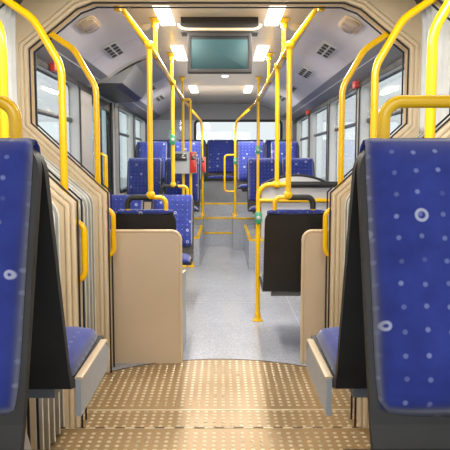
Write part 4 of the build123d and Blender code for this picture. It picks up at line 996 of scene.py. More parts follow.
def back_line(tall):
    """The front of a shell's back, over its crest and a little way down behind."""
    lean = BACK_LEAN * tall
    return [(-0.048, 0.006), (-lean - 0.029, tall - 0.020), (-lean - 0.037, tall + 0.001),
            (-lean - 0.048, tall + 0.006), (-lean - 0.061, tall - 0.002), (-lean - 0.067, tall - 0.016)]


FORM_TABLE = [
    # name, line, (share, thickness) pairs
    ("cushion", [(0.424, -0.060), (0.022, -0.077)], [(0, 0.050), (1, 0.058)]),
    ("low_back", back_line(LOW_BACK), [(0, 0.055), (0.86, 0.036), (0.92, 0.018), (1, 0.010)]),
    ("tall_back", back_line(TALL_BACK), [(0, 0.055), (0.88, 0.036), (0.93, 0.018), (1, 0.010)]),
]
FORMS = {name: pad_form(name + "_form", line, table_of(pairs), FORM_WIDTH) for name, line, pairs in FORM_TABLE}
print("forms:", {name: len(pad.data.polygons) for name, pad in FORMS.items()})

# %% [markdown]
# The simulation keeps the rim and the hidden underside pinned, so only the
# front face swells. Each point may move 7 mm at most.

# %% Puff the pads with pressure
PUFF_FRAMES = 20
PUFF_CAP = 0.007
PUFF_PRESSURE = 4.0
COVER_STIFFNESS = 25


def puff(pad):
    """Blows a pad up under its cover, by PUFF_CAP at most."""
    before = [v.co.copy() for v in pad.data.vertices]
    pinned = pad.vertex_groups.new(name="pinned")
    for vertex, held in zip(pad.data.vertices, pad.data.attributes["held"].data):
        pinned.add([vertex.index], held.value, "REPLACE")
    cloth = pad.modifiers.new("foam pressure", "CLOTH")
    cloth.settings.vertex_group_mass = "pinned"
    cloth.settings.use_pressure = True
    cloth.settings.uniform_pressure_force = PUFF_PRESSURE
    cloth.settings.tension_stiffness = COVER_STIFFNESS
    cloth.settings.compression_stiffness = COVER_STIFFNESS
    cloth.settings.effector_weights.gravity = 0.0
    cloth.point_cache.frame_start = 1
    cloth.point_cache.frame_end = PUFF_FRAMES
    for frame_number in range(1, PUFF_FRAMES + 1):
        bpy.context.scene.frame_set(frame_number)
    ready = pad.evaluated_get(bpy.context.evaluated_depsgraph_get())
    after = [v.co.copy() for v in ready.data.vertices]
    pad.modifiers.remove(cloth)
    moved = []
    for vertex, old, new in zip(pad.data.vertices, before, after):
        step = new - old
        if step.length > PUFF_CAP:
            step *= PUFF_CAP / step.length
        vertex.co = old + step
        moved.append(step.length)
    bpy.context.scene.frame_set(1)
    print(pad.name, "swelled by up to", round(max(moved) * 1000, 1), "mm")


for pad in FORMS.values():
    puff(pad)

# %% [markdown]
# The places repeat the seat table of the CAD model, one row for each pair of
# seats. The pads of one car are joined into one mesh, and each pad keeps its
# own part of the flat pattern.

# %% Place the pads
INSIDE = 1.185
PADS_IN = 0.020
# side, place along the bus, way it faces, cushion height, aisle edge, gap to the wall, gap between, back
FORE_ROWS = [
    (-1, -1.265, 1, 0.720, 0.371, 0.016, 0.008, "tall_back"),
    (1, -1.265, 1, 0.720, 0.305, 0.016, 0.008, "tall_back"),
    (-1, -1.735, -1, 0.720, 0.371, 0.016, 0.008, "tall_back"),
    (1, -1.735, -1, 0.720, 0.305, 0.016, 0.008, "tall_back"),
]
REAR_ROWS = [
    (-1, 1.310, 1, 0.450, 0.275, 0.065, 0.065, "low_back"),
    (1, 1.310, 1, 0.450, 0.285, 0.055, 0.065, "low_back"),
    (-1, 2.760, -1, 0.450, 0.240, 0.100, 0.065, "low_back"),
    (-1, 4.980, -1, 0.720, 0.260, 0.015, 0.030, "tall_back"),
    (1, 4.980, -1, 0.720, 0.330, 0.011, 0.008, "tall_back"),
    (-1, 5.790, -1, 0.950, 0.260, 0.015, 0.030, "tall_back"),
    (1, 5.790, -1, 0.950, 0.220, 0.105, 0.060, "tall_back"),
]
BENCH_Y, BENCH_UP, BENCH_SEATS, BENCH_GAP = 7.360, 1.030, 5, 0.008


def seat_places(rows):
    """Place, height, facing, width and back of each of the two seats in each row."""
    places = []
    for side, y, facing, up, edge, wall_gap, between, back in rows:
        width = (INSIDE - wall_gap - edge - between) / 2
        for i in range(2):
            places.append((side * (edge + width / 2 + i * (width + between)), y, up, facing, width, back))
    return places


bench_pitch = 2 * (INSIDE - BENCH_GAP) / BENCH_SEATS
bench = []
for i in range(BENCH_SEATS):
    x = (i + 0.5) * bench_pitch - INSIDE + BENCH_GAP
    bench.append((x, BENCH_Y, BENCH_UP, -1, bench_pitch - BENCH_GAP, "tall_back"))


def pads_of(places):
    """All pads of some seats as one mesh, each with its own part of the pattern."""
    joined = bmesh.new()
    chart = joined.loops.layers.uv.new("cut")
    for number, (x, y, up, facing, width, back) in enumerate(places):
        stretch = (width - PADS_IN) / FORM_WIDTH
        for part, form in enumerate((FORMS["cushion"], FORMS[back])):
            mesh = form.data
            flat = mesh.uv_layers["cut"].data
            new = [joined.verts.new(at(x + v.co.x * stretch * facing, y + v.co.y * facing, up + v.co.z))
                   for v in mesh.vertices]
            for polygon in mesh.polygons:
                made = joined.faces.new([new[i] for i in polygon.vertices])
                made.smooth = True
                for loop, index in zip(made.loops, polygon.loop_indices):
                    uv = flat[index].uv
                    loop[chart].uv = (uv.x * stretch + number * 1.37, uv.y + part * 2.11 + number * 0.73)
    bmesh.ops.recalc_face_normals(joined, faces=joined.faces)
    mesh = bpy.data.meshes.new("pads")
    joined.to_mesh(mesh)
    joined.free()
    return mesh


for name, body, places in (("rear_seat_pads", "rear_car", seat_places(REAR_ROWS) + bench),
                           ("fore_seat_pads", "fore_car", seat_places(FORE_ROWS))):
    mesh = pads_of(places)
    piece = bpy.data.objects.new(name.replace("seat_pads", "cushions"), mesh)
    bpy.context.scene.collection.objects.link(piece)
    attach(piece, body)
    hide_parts(name)
    print(piece.name, "has", 2 * len(places), "pads")
for form in FORMS.values():
    bpy.data.objects.remove(form)

# %% [markdown]
# The cover is a short plush woven for buses: royal blue, with a few scattered
# pale rings over a wide grid of dots, some fainter than others. Both are
# cells of a Voronoi pattern on the flat UV map, so they stay round on the
# curved pads. The pile is finer than a pixel and only softens the sheen.

# %% Dotted plush
RING_CELL_MM = 135
GRID_CELL_MM = 46
plush, tree, shader, place = start_material("dotted_royal_blue_plush", Roughness=0.85, Sheen_Weight=0.35,
                                            Sheen_Roughness=0.45)
flat = add(tree, "ShaderNodeUVMap", uv_map="cut")
rings = add(tree, "ShaderNodeTexVoronoi", {"Vector": flat, "Scale": 1000 / RING_CELL_MM, "Randomness": 0.85},
            voronoi_dimensions="2D").outputs
lot = add(tree, "ShaderNodeSeparateColor", {0: rings["Color"]}).outputs
radius = add(tree, "ShaderNodeMapRange", {"Value": lot[1], "To Min": 0.045, "To Max": 0.085})
from_ring = apart(tree, rings["Distance"], radius)
line = add(tree, "ShaderNodeMapRange", {"Value": from_ring, "From Min": 0.034, "From Max": 0.012})
chosen = add(tree, "ShaderNodeMath", {0: lot[0], 1: 0.25}, operation="GREATER_THAN")
drawn = add(tree, "ShaderNodeMath", {0: line, 1: chosen}, operation="MULTIPLY")
drawn = add(tree, "ShaderNodeMath", {0: drawn, 1: 0.72}, operation="MULTIPLY")
dots = add(tree, "ShaderNodeTexVoronoi", {"Vector": flat, "Scale": 1000 / GRID_CELL_MM, "Randomness": 0.12},
           voronoi_dimensions="2D").outputs
dot_lot = add(tree, "ShaderNodeSeparateColor", {0: dots["Color"]})
pale = add(tree, "ShaderNodeMapRange", {"Value": dot_lot, "To Min": 0.10, "To Max": 0.55})
dot = add(tree, "ShaderNodeMapRange", {"Value": dots["Distance"], "From Min": 0.14, "From Max": 0.07})
faint = add(tree, "ShaderNodeMath", {0: dot, 1: pale}, operation="MULTIPLY")
pile = blotches(tree, flat, 60)
ground = add(tree, "ShaderNodeMix", {0: pile, 6: "1d2b7c", 7: "273990"}, data_type="RGBA")
ground = add(tree, "ShaderNodeMix", {0: faint, 6: ground, 7: "a9b3e0"}, data_type="RGBA")
woven = add(tree, "ShaderNodeMix", {0: drawn, 6: ground, 7: "c9cde0"}, data_type="RGBA")
fill(tree, shader, {"Base Color": woven})
relief(tree, shader, flat, 2.2, 0.25)
for name in ("rear_cushions", "fore_cushions"):
    bpy.data.objects[name].data.materials.append(plush)

# %% [markdown]
# ## Grips, clamps and stop buttons
#
# Grab bars over the low rows wear a thick black sleeve on their outer half,
# which follows the bend of the tube down to the seat. The rest stays yellow.
# The hoop at the wheelchair place has a straight one.

# %% Sleeves on the grab bars
POLE_X = 0.430
REST_Y = 1.960
BAR_OVER_BACK = 0.090
BEND_RADIUS = 0.040
LOW_ROWS = REAR_ROWS[:3]
# Foam rubber sleeve: black, matt and a little coarse.
grip_foam = plain_material("black_grip_foam", "26282a", "1b1d1f", 40, 0.55, 3, 0.25)


def grip_place(row):
    """Where the bar over a row's backs is: along the bus and above the floor."""
    side, y, facing, up, edge, wall_gap, between, back = row
    tall = LOW_BACK if back == "low_back" else TALL_BACK
    return y - facing * (tall * BACK_LEAN + 0.048), up + tall + BAR_OVER_BACK


sleeves = []
for row in LOW_ROWS:
    y, up = grip_place(row)
    near, far = row[4] + 0.145, row[4] + 0.300
    bend = arc(far - BEND_RADIUS, up - BEND_RADIUS, BEND_RADIUS, 90, 0, 6)
    line = [at(row[0] * a, y, b) for a, b in [(near, up)] + bend + [(far, up - 0.072)]]
    sleeves.append(sweep(line, round_section(0.0185), Y))
sleeves.append(straight_tube(at(0.52, REST_Y, 1.050), at(0.95, REST_Y, 1.050), 0.0235))
build("grip_sleeves", sleeves, grip_foam, "rear_car")
print(len(sleeves), "sleeves")

# %% [markdown]
# The flared clamps at the feet of the poles and the ball joints on the rails
# are turned profiles. A yellow loop on the pole by the stair is a round
# section carried along two straight stretches and two quarter arcs.

# %% Clamps, ball joints and the loop by the stair
OVERHEAD_UP = 1.930
CEILING_UP = 2.168
PLATFORM_POLE_Y = 4.520
STAIR_POLE_Y, STAIR_POLE_XS = 6.300, (-0.267, 0.204)
HANGER_YS = (1.480, 2.837, 4.430)
LOOP_TOP_UP, LOOP_LOW_UP, LOOP_BEND = 1.320, 0.800, 0.045
CLAMP_PROFILE = [(0.040, 0), (0.042, 0.003), (0.040, 0.007), (0.027, 0.018), (0.0225, 0.034), (0.0215, 0.060),
                 (0.0175, 0.062)]


def flared_clamp(place, axis):
    """Foot of a pole: a wide flange that narrows to a collar."""
    return turned(CLAMP_PROFILE, place, axis)


def ball_joint(place, radius=0.029):
    """A ball with flat ends, where a pole meets a rail."""
    profile = arc(0, 0, radius, -75, 75, 10)
    return turned([(0.0175, profile[0][1])] + profile + [(0.0175, profile[-1][1])], place, Z)


clamps, joints = [], []
pole_feet = [(-POLE_X, PLATFORM_POLE_Y, 0.0), (-0.345, PLATFORM_POLE_Y, 0.0),
             (POLE_X, PLATFORM_POLE_Y, PLATFORM_UP), (0.290, REST_Y, 0.0), (1.151, REST_Y, 0.0)]
pole_feet += [(x, STAIR_POLE_Y, SIDE_BLOCK_UP) for x in STAIR_POLE_XS]
for x, y, up in pole_feet:
    clamps.append(flared_clamp(at(x, y, up), Z))
for row in LOW_ROWS:
    y, up = grip_place(row)
    joints.append(ball_joint(at(row[0] * POLE_X, y, up + 0.014)))
    joints.append(ball_joint(at(row[0] * POLE_X, y, OVERHEAD_UP)))
for x, y in ((POLE_X, REST_Y), (POLE_X, PLATFORM_POLE_Y), (-POLE_X, PLATFORM_POLE_Y)):
    joints.append(ball_joint(at(x, y, OVERHEAD_UP)))
joints.append(ball_joint(at(POLE_X, REST_Y, 1.050)))
for side in (-1, 1):
    clamps.append(flared_clamp(at(side * 0.600, 1.000, CEILING_UP), -Z))
    for y in HANGER_YS:
        joints.append(ball_joint(at(side * POLE_X, y, OVERHEAD_UP), 0.025))
        clamps.append(flared_clamp(at(side * POLE_X, y, CEILING_UP), -Z))
build("pole_clamps", clamps, rail_coat, "rear_car")
build("rail_joints", joints, rail_coat, "rear_car")
loop_x = STAIR_POLE_XS[1]
bend_x = loop_x - 0.105
loop_line = [(loop_x, LOOP_TOP_UP)] + arc(bend_x, LOOP_TOP_UP - LOOP_BEND, LOOP_BEND, 90, 180, 6)
loop_line += arc(bend_x, LOOP_LOW_UP + LOOP_BEND, LOOP_BEND, 180, 270, 6) + [(loop_x, LOOP_LOW_UP)]
loop_path = [at(a, STAIR_POLE_Y, b) for a, b in loop_line]
build("stair_grab_loop", [sweep(loop_path, round_section(0.014), Y)], rail_coat, "rear_car")
print(len(clamps), "clamps and", len(joints), "ball joints")

# %% [markdown]
# Stop buttons are green cases clipped to the poles, each with a grey disc to
# press. Case and disc are one block and one turned piece at each place.

# %% Stop buttons
STOP_PLACES = [(STAIR_POLE_XS[0], STAIR_POLE_Y, 1.20), (STAIR_POLE_XS[1], STAIR_POLE_Y, 1.24),
               (POLE_X, PLATFORM_POLE_Y, 1.36), (0.290, REST_Y, 0.80), (-POLE_X, 2.960, 1.42)]
DISC_PROFILE = [(0.016, 0), (0.016, 0.003), (0.012, 0.006), (0.004, 0.007)]
# Moulded polycarbonate: clean green with a hard shine.
stop_green = plain_material("green_button_case", "3f9a68", "338a5b", 40, 0.3, 2, 0.05, Coat_Weight=0.4)
stops, discs = [], []
for x, y, up in STOP_PLACES:
    stops.append(moulded_block(at(x, y - 0.019, up), X, Z, 0.056, 0.096, 0.016, 0.027, 0.004, steps=8))
    discs.append(turned(DISC_PROFILE, at(x, y - 0.034, up), -Y))
build("stop_button_cases", stops, stop_green, "rear_car")
build("stop_button_discs", discs, grey_side, "rear_car")
print(len(stops), "stop buttons")

# %% [markdown]
# ## Walls, ceiling and covers inside
#
# A bus wall is one panel with two faces: paint outside and a moulded lining
# inside. The CAD wall stays as it is, and its material tells the faces apart
# by how far they are from the middle, as the two real skins are. Inside,
# bands of colour follow the height: dark skirting, warm grey under the
# windows and grey-beige pillars.

# %% Bands and panel joints
SILL_UP = 0.870
WINDOW_TOP_UP = 1.870
PANEL_PITCH = 1.25


def beyond(tree, value, edge, soft=0.0015):
    """0 below edge and 1 above it."""
    return add(tree, "ShaderNodeMapRange", {"Value": value, "From Min": edge - soft, "From Max": edge + soft})


def bands(tree, value, first, steps):
    """Colours by height or distance: the first one, then (edge, colour) in order."""
    shade = first
    for edge, following in steps:
        shade = add(tree, "ShaderNodeMix", {
            0: beyond(tree, value, edge), 6: shade, 7: following}, data_type="RGBA")
    return shade


def through_pitch(tree, value, pitch):
    """How far a value is through its pitch, from 0 to 1."""
    pitches = add(tree, "ShaderNodeMath", {0: value, 1: pitch}, operation="DIVIDE")
    return add(tree, "ShaderNodeMath", {0: pitches}, operation="FRACT")


def panel_joints(tree, along, outer, inner):
    """1 on the joint half-way along each panel pitch, 0 from outer on. Both are shares of the pitch."""
    off = apart(tree, through_pitch(tree, along, PANEL_PITCH), 0.5)
    return add(tree, "ShaderNodeMapRange", {"Value": off, "From Min": outer, "From Max": inner})


def painted_panels(tree, spot, cloud):
    """Pale sprayed panels over a grey skirt, with a dark joint at each pitch below the windows."""
    pale = add(tree, "ShaderNodeMix", {0: cloud, 6: "ced1d3", 7: "d3d6d8"}, data_type="RGBA")
    skirt = add(tree, "ShaderNodeMix", {0: cloud, 6: "6f747a", 7: "7b8086"}, data_type="RGBA")
    joint = panel_joints(tree, spot["Y"], 0.0030, 0.0018)
    below = add(tree, "ShaderNodeMath", {0: spot["Z"], 1: FLOOR_Z + SILL_UP - 0.09}, operation="LESS_THAN")
    shown = add(tree, "ShaderNodeMath", {0: joint, 1: below}, operation="MULTIPLY")
    shade = bands(tree, spot["Z"], skirt, [(FLOOR_Z + 0.300, pale)])
    return add(tree, "ShaderNodeMix", {0: shown, 6: shade, 7: "3d4145"}, data_type="RGBA")


# %% [markdown]
# The paint is glossier than the lining and has a clear coat, so roughness and
# coat follow the same share as the colour. Where the fore car is cut off, the
# ends of its walls show their dark core.

# %% Two-faced walls
FORE_END_Y = -2.3292
OUTER_SKIN_X, OUTER_SKIN_Y, OUTER_SKIN_UP = 1.195, 7.83, 2.20


def wall_finish(name, outside_share, steps):
    """Outside paint where outside_share is 1, a lining banded by height where it is 0."""
    material, tree, shader, place = start_material(name, Coat_Roughness=0.1)
    spot = add(tree, "ShaderNodeSeparateXYZ", {0: place}).outputs
    outside = outside_share(tree, spot)
    cloud = blotches(tree, place, 700)
    paint = painted_panels(tree, spot, cloud)
    panel = add(tree, "ShaderNodeMix", {0: cloud, 6: "a9a298", 7: "b4ada3"}, data_type="RGBA")
    lining = bands(tree, spot["Z"], colour("4a4743"),
                   [(FLOOR_Z + 0.110, panel)] + [(FLOOR_Z + up, colour(code)) for up, code in steps])
    cut_edge = add(tree, "ShaderNodeMath", {0: spot["Y"], 1: PIVOT_Y + FORE_END_Y}, operation="LESS_THAN")
    faces = add(tree, "ShaderNodeMix", {0: outside, 6: lining, 7: paint}, data_type="RGBA")
    fill(tree, shader, {
        "Base Color": add(tree, "ShaderNodeMix", {
            0: cut_edge, 6: faces, 7: "36383b"}, data_type="RGBA"),
        "Roughness": add(tree, "ShaderNodeMapRange", {"Value": outside, "To Min": 0.45, "To Max": 0.42}),
        "Coat Weight": add(tree, "ShaderNodeMath", {0: outside, 1: 0.15}, operation="MULTIPLY")})
    relief(tree, shader, place, 6, 0.05)
    return material


def side_share(tree, spot):
    """1 on the outer skin of a side wall."""
    from_middle = add(tree, "ShaderNodeMath", {0: spot["X"]}, operation="ABSOLUTE")
    return beyond(tree, from_middle, OUTER_SKIN_X, 0.003)


def rear_share(tree, spot):
    """1 on the outer skin of the rear wall, its corners and its top."""
    behind = beyond(tree, spot["Y"], PIVOT_Y + OUTER_SKIN_Y, 0.003)
    corner = add(tree, "ShaderNodeMath", {0: behind, 1: side_share(tree, spot)}, operation="MAXIMUM")
    return add(tree, "ShaderNodeMath", {
        0: corner, 1: beyond(tree, spot["Z"], FLOOR_Z + OUTER_SKIN_UP, 0.003)}, operation="MAXIMUM")


finish_nodes(
    wall_finish("two_faced_side_wall", side_share, [
        (SILL_UP - 0.045, "d8cdb8"), (SILL_UP - 0.020, "a19d97"), (WINDOW_TOP_UP - 0.04, "2a2b2d"),
        (1.935, "8b8d92")]),
    ["kerb_wall_front", "kerb_wall_rear", "street_wall", "fore_walls", "kerb_door_frame"])
finish_nodes(wall_finish("two_faced_rear_wall", rear_share, [(1.46, "c6c7c9"), (1.91, "8f9196")]),
             ["rear_end_wall"])
print("paint begins", OUTER_SKIN_X, "from the middle")

# %% [markdown]
# The ceiling is banded too, by the distance from the middle: a flat panel, a
# light cove, a dark band with a white line, which is a painted highlight. Over
# the door the panel is a light cover. The bands are drawn on the CAD ceiling,
# because the real ones are flush.

# %% Banded ceiling
DOOR_MIDDLE_Y, DOOR_COVER_HALF, DOOR_COVER_X = 3.75, 0.86, -0.640
# Gel-coated mouldings: smooth, with long soft highlights along the coves.
banded_ceiling, tree, shader, place = start_material("banded_ceiling_mouldings", Roughness=0.36)
spot = add(tree, "ShaderNodeSeparateXYZ", {0: place}).outputs
from_middle = add(tree, "ShaderNodeMath", {0: spot["X"]}, operation="ABSOLUTE")
cloud = blotches(tree, place, 600)
flat_panel = add(tree, "ShaderNodeMix", {0: cloud, 6: "aaa090", 7: "b6ac9c"}, data_type="RGBA")
cove = add(tree, "ShaderNodeMix", {0: cloud, 6: "c4c2c8", 7: "d2d0d6"}, data_type="RGBA")
# The white line between 1.068 and 1.076 m out is a painted highlight on the dark band.
across = bands(tree, from_middle, flat_panel, [
    (0.612, colour("6d6a66")), (0.620, cove), (0.996, colour("808087")), (1.068, colour("f0f0f1")),
    (1.076, colour("75767d"))])
from_door = apart(tree, spot["Y"], PIVOT_Y + DOOR_MIDDLE_Y)
at_door = add(tree, "ShaderNodeMath", {0: from_door, 1: DOOR_COVER_HALF}, operation="LESS_THAN")
kerb_side = add(tree, "ShaderNodeMath", {0: spot["X"], 1: DOOR_COVER_X}, operation="LESS_THAN")
over_door = add(tree, "ShaderNodeMath", {0: at_door, 1: kerb_side}, operation="MULTIPLY")
across = add(tree, "ShaderNodeMix", {0: over_door, 6: across, 7: "b4b2b3"}, data_type="RGBA")
joint = panel_joints(tree, spot["Y"], 0.0022, 0.0016)
fill(tree, shader, {"Base Color": add(tree, "ShaderNodeMix", {
    0: joint, 6: across, 7: "55534f"}, data_type="RGBA")})
relief(tree, shader, place, 4, 0.05)
finish_nodes(banded_ceiling, ["rear_ceiling", "fore_ceiling"])

# %% [markdown]
# The back support for a wheelchair is a yellow hoop with a light grey panel
# behind it, whose curved top has a dark edge. Panel and hoop are one CAD node,
# and the panel begins where the tubes end, so the material changes there.

# %% Wheelchair back support
REST_PANEL_Y = 1.97715
REST_ARC_X, REST_ARC_UP, REST_ARC_RADIUS = 0.5825, 0.6328, 0.4872
# Powder coat on the tubes and laminate on the panel: yellow in front, grey behind.
rest_finish, tree, shader, place = start_material("coated_hoop_and_grey_panel", Roughness=0.3)
spot = add(tree, "ShaderNodeSeparateXYZ", {0: place}).outputs
cloud = blotches(tree, place, 300)
tube_yellow = add(tree, "ShaderNodeMix", {0: cloud, 6: "efb900", 7: "f7c600"}, data_type="RGBA")
panel_grey = add(tree, "ShaderNodeMix", {0: cloud, 6: "bfc2c4", 7: "cbcdcf"}, data_type="RGBA")
behind = beyond(tree, spot["Y"], PIVOT_Y + REST_PANEL_Y, 0.0001)
fill(tree, shader, {"Base Color": add(tree, "ShaderNodeMix", {
    0: behind, 6: tube_yellow, 7: panel_grey}, data_type="RGBA")})
relief(tree, shader, place, 4, 0.05)
finish_nodes(rest_finish, ["wheelchair_rest"])
rest_top = [at(x, REST_PANEL_Y + 0.010, up)
            for x, up in arc(REST_ARC_X, REST_ARC_UP, REST_ARC_RADIUS, 123.0, 57.0, 16)]
build("wheelchair_panel_edge", [sweep(rest_top, rounded_outline(0.020, 0.026, 0.006, 3), Y)], grip_foam,
      "rear_car")

# %% [markdown]
# ## Windows
#
# Every window sits in a black rubber gasket. Seen from either side it is a
# rounded bead round the opening, so one closed path with round corners serves
# both faces, and the same bead is carried round it. A dark rail crosses the
# upper part of each pane, where the hopper opens.

# %% Gaskets and hopper rails
PILLAR = 0.110
PANE_RADIUS = 0.060
HALF = 1.275
PANE_X = 1.258
HOPPER_DOWN = 0.30
REAR_WALL_Y, REAR_WALL_THICK = 7.820, 0.080
REAR_PANE_X, REAR_PANE_UP = 0.285, 1.700


def window_row(y0, y1, count):
    """Ends of equal windows between y0 and y1, with a pillar between each two."""
    pitch = (y1 - y0 + PILLAR) / count
    return [(y0 + i * pitch, y0 + (i + 1) * pitch - PILLAR) for i in range(count)]


WINDOWS = {
    "rear_car": [(-1, window) for window in window_row(1.300, 2.600, 1) + window_row(4.640, 7.300, 2)]
    + [(1, window) for window in window_row(1.180, 7.300, 4)],
    "fore_car": [(side, window) for side in (-1, 1) for window in window_row(-2.230, -1.020, 1)],
}


def window_path(x, y0, y1, low, high, corner):
    """Closed path with round corners round an opening in a side wall."""
    middle_y, middle_up = (y0 + y1) / 2, (low + high) / 2
    return [at(x, middle_y + a, middle_up + b) for a, b in rounded_outline(y1 - y0, high - low, corner, 6)]


for body, windows in WINDOWS.items():
    shapes, rails = [], []
    for side, (y0, y1) in windows:
        for x, face, width, deep in ((side * INSIDE, -side, 0.042, 0.005), (side * HALF, side, 0.034, 0.0025)):
            path = window_path(x, y0, y1, SILL_UP, WINDOW_TOP_UP, PANE_RADIUS)
            shapes.append(sweep(path, bead_section(width, deep, 0.0022, face), X, loop=True))
        rail = [at(side * PANE_X, y, WINDOW_TOP_UP - HOPPER_DOWN) for y in (y0 + 0.01, y1 - 0.01)]
        rails.append(sweep(rail, rounded_outline(0.034, 0.020, 0.005, 2), X))
    build(body + "_window_gaskets", shapes, window_rubber, body, sharp=50)
    build(body + "_hopper_rails", rails, black_frame_paint, body)
    print(body, "has", len(windows), "windows")

rear_outline = [at(REAR_PANE_X + a, REAR_WALL_Y, REAR_PANE_UP + b)
                for a, b in rounded_outline(1.430, 0.400, PANE_RADIUS, 6)]
rear_inner = sweep(rear_outline, bead_section(0.040, 0.005, 0.002, -1), Y, loop=True)
rear_outer = sweep([p + Y * REAR_WALL_THICK for p in rear_outline], bead_section(0.034, 0.0025, 0.001), Y,
                   loop=True)
build("rear_window_gasket", [rear_inner, rear_outer], window_rubber, "rear_car", sharp=50)

# %% [markdown]
# ## Coves: vents, oval lamps, cameras
#
# Along both coves run air vents: a grey plate with two rows of four slots,
# a dark hollow behind each. The plates are moulded blocks that lie on the
# slope, and the slots are small dark blocks let into them, painted shade for
# the hollows.

# %% Vents and oval lamps on the coves
COVE_MIDDLE = (0.828, 2.0885)
COVE_DOWN = Vector((0.38, 0, -0.195)).normalized()
VENT_YS = {-1: (2.20, 4.75, 5.91), 1: (2.20, 3.45, 4.75, 5.91)}
VENT_SLOTS, SLOT_PITCH, SLOT_ROW = 4, 0.108, 0.027
OVAL_Y = 1.270
vents, slots, oval_rims, ovals = [], [], [], []
for side in (-1, 1):
    down = Vector((side * COVE_DOWN.x, 0, COVE_DOWN.z))
    along = Y * -side
    out = down.cross(along)
    for y in VENT_YS[side]:
        place = at(side * COVE_MIDDLE[0], y, COVE_MIDDLE[1])
        vents.append(moulded_block(place, down, along, 0.120, 0.470, 0.010, 0.020, 0.004))
        for row in (-1, 1):
            for i in range(VENT_SLOTS):
                step = (i - (VENT_SLOTS - 1) / 2) * SLOT_PITCH
                spot = place + down * (row * SLOT_ROW) + along * step + out * 0.0085
                slots.append(moulded_block(spot, down, along, 0.040, 0.086, 0.0022, 0.010, 0.0006, steps=2))
    oval = at(side * COVE_MIDDLE[0], OVAL_Y, COVE_MIDDLE[1])
    oval_rims.append(moulded_block(oval, down, along, 0.125, 0.330, 0.010, 0.060, 0.005, steps=8))
    ovals.append(moulded_block(oval + out * 0.008, down, along, 0.096, 0.300, 0.012, 0.046, 0.006, steps=8))
# Painted shade of the hollows behind the slots: dark and dull.
vent_dark = plain_material("dark_vent_hollow", "2b2c2e", "222325", 60, 0.7, 4, 0.1)
# Frosted glass over a lamp that is off: warm beige, soft gloss.
frosted = plain_material("frosted_warm_lamp_glass", "b9a78e", "a8967d", 90, 0.28, 3, 0.05, Coat_Weight=0.3)
build("cove_vents", vents, grey_side, "rear_car")
build("cove_vent_slots", slots, vent_dark, "rear_car")
build("oval_lamp_rims", oval_rims, cream_moulding, "rear_car")
build("oval_lamps", ovals, frosted, "rear_car")
print(len(vents), "vents with", len(slots), "slots")

# %% [markdown]
# Two cream domes on the ceiling hold cameras, and a small round spot lamp
# sits further back. All three are turned profiles.

# %% Camera domes and spot lamp
DOME_PROFILE = [(0.052, 0), (0.052, 0.006), (0.046, 0.018), (0.034, 0.030), (0.018, 0.037), (0.004, 0.039)]
SPOT_PROFILE = [(0.038, 0), (0.038, 0.005), (0.030, 0.008), (0.006, 0.009)]
CEILING_FACE_UP = 2.170
domes = [turned(DOME_PROFILE, at(x, 1.680, CEILING_FACE_UP), -Z) for x in (-0.530, 0.530)]
build("camera_domes", domes, cream_moulding, "rear_car")
build("centre_spot_lamp", [turned(SPOT_PROFILE, at(0.05, 4.350, CEILING_FACE_UP), -Z)], opal_lamp, "rear_car")

# %% [markdown]
# Small red boxes near the window tops hold tools for an emergency. They stay
# blank here. Two more red boxes on the poles by the stair are ticket
# validators, which stay blank too: a red face on each grey housing.

# %% Red boxes
TOOL_BOXES = ((1, 2.700), (1, 5.800), (-1, 1.710))
POLE_BOX_X, STAIR_BOX_X = -0.314, STAIR_POLE_XS[0]
# Moulded ABS: strong red with a satin face.
red_plastic = plain_material("red_moulded_plastic", "d23a28", "bd3122", 40, 0.35, 3, 0.06)
# Smoked polycarbonate over a display: nearly black, mirror-like.
smoked = plain_material("smoked_dome_plastic", "3a3d42", "2c2e32", 30, 0.12, 3, 0.03, Coat_Weight=0.6)
boxes = [moulded_block(at(side * 1.187, y, 1.885), Y * -side, Z, 0.120, 0.062, 0.040, 0.010, 0.004)
         for side, y in TOOL_BOXES]
build("tool_boxes", boxes, red_plastic, "rear_car")
fronts = [
    moulded_block(at(POLE_BOX_X, 4.4423, 1.2145), X, Z, 0.074, 0.235, 0.006, 0.012, 0.003),
    moulded_block(at(STAIR_BOX_X, 6.2223, 1.1835), X, Z, 0.094, 0.208, 0.006, 0.012, 0.003),
]
build("validator_fronts", fronts, red_plastic, "rear_car")
displays = [
    moulded_block(at(-0.448, 4.4023, 1.275), X, Z, 0.130, 0.080, 0.003, 0.008, 0.001),
    moulded_block(at(POLE_BOX_X, 4.4365, 1.270), X, Z, 0.046, 0.050, 0.002, 0.006, 0.0008),
    moulded_block(at(STAIR_BOX_X, 6.2165, 1.240), X, Z, 0.056, 0.050, 0.002, 0.006, 0.0008),
]
build("validator_screens", displays, smoked, "rear_car")
print(len(boxes), "tool boxes and", len(fronts), "validators")

# %% [markdown]
# ## Monitor
#
# Over the aisle hangs a wide screen in a black case, switched on but blank,
# under a cream housing. Only the bezel, the glass and the curved edge of the
# housing are added to the CAD blocks.

# %% Bezel, blank screen and housing edge
MONITOR_Y, MONITOR_UP = 1.440, 1.940
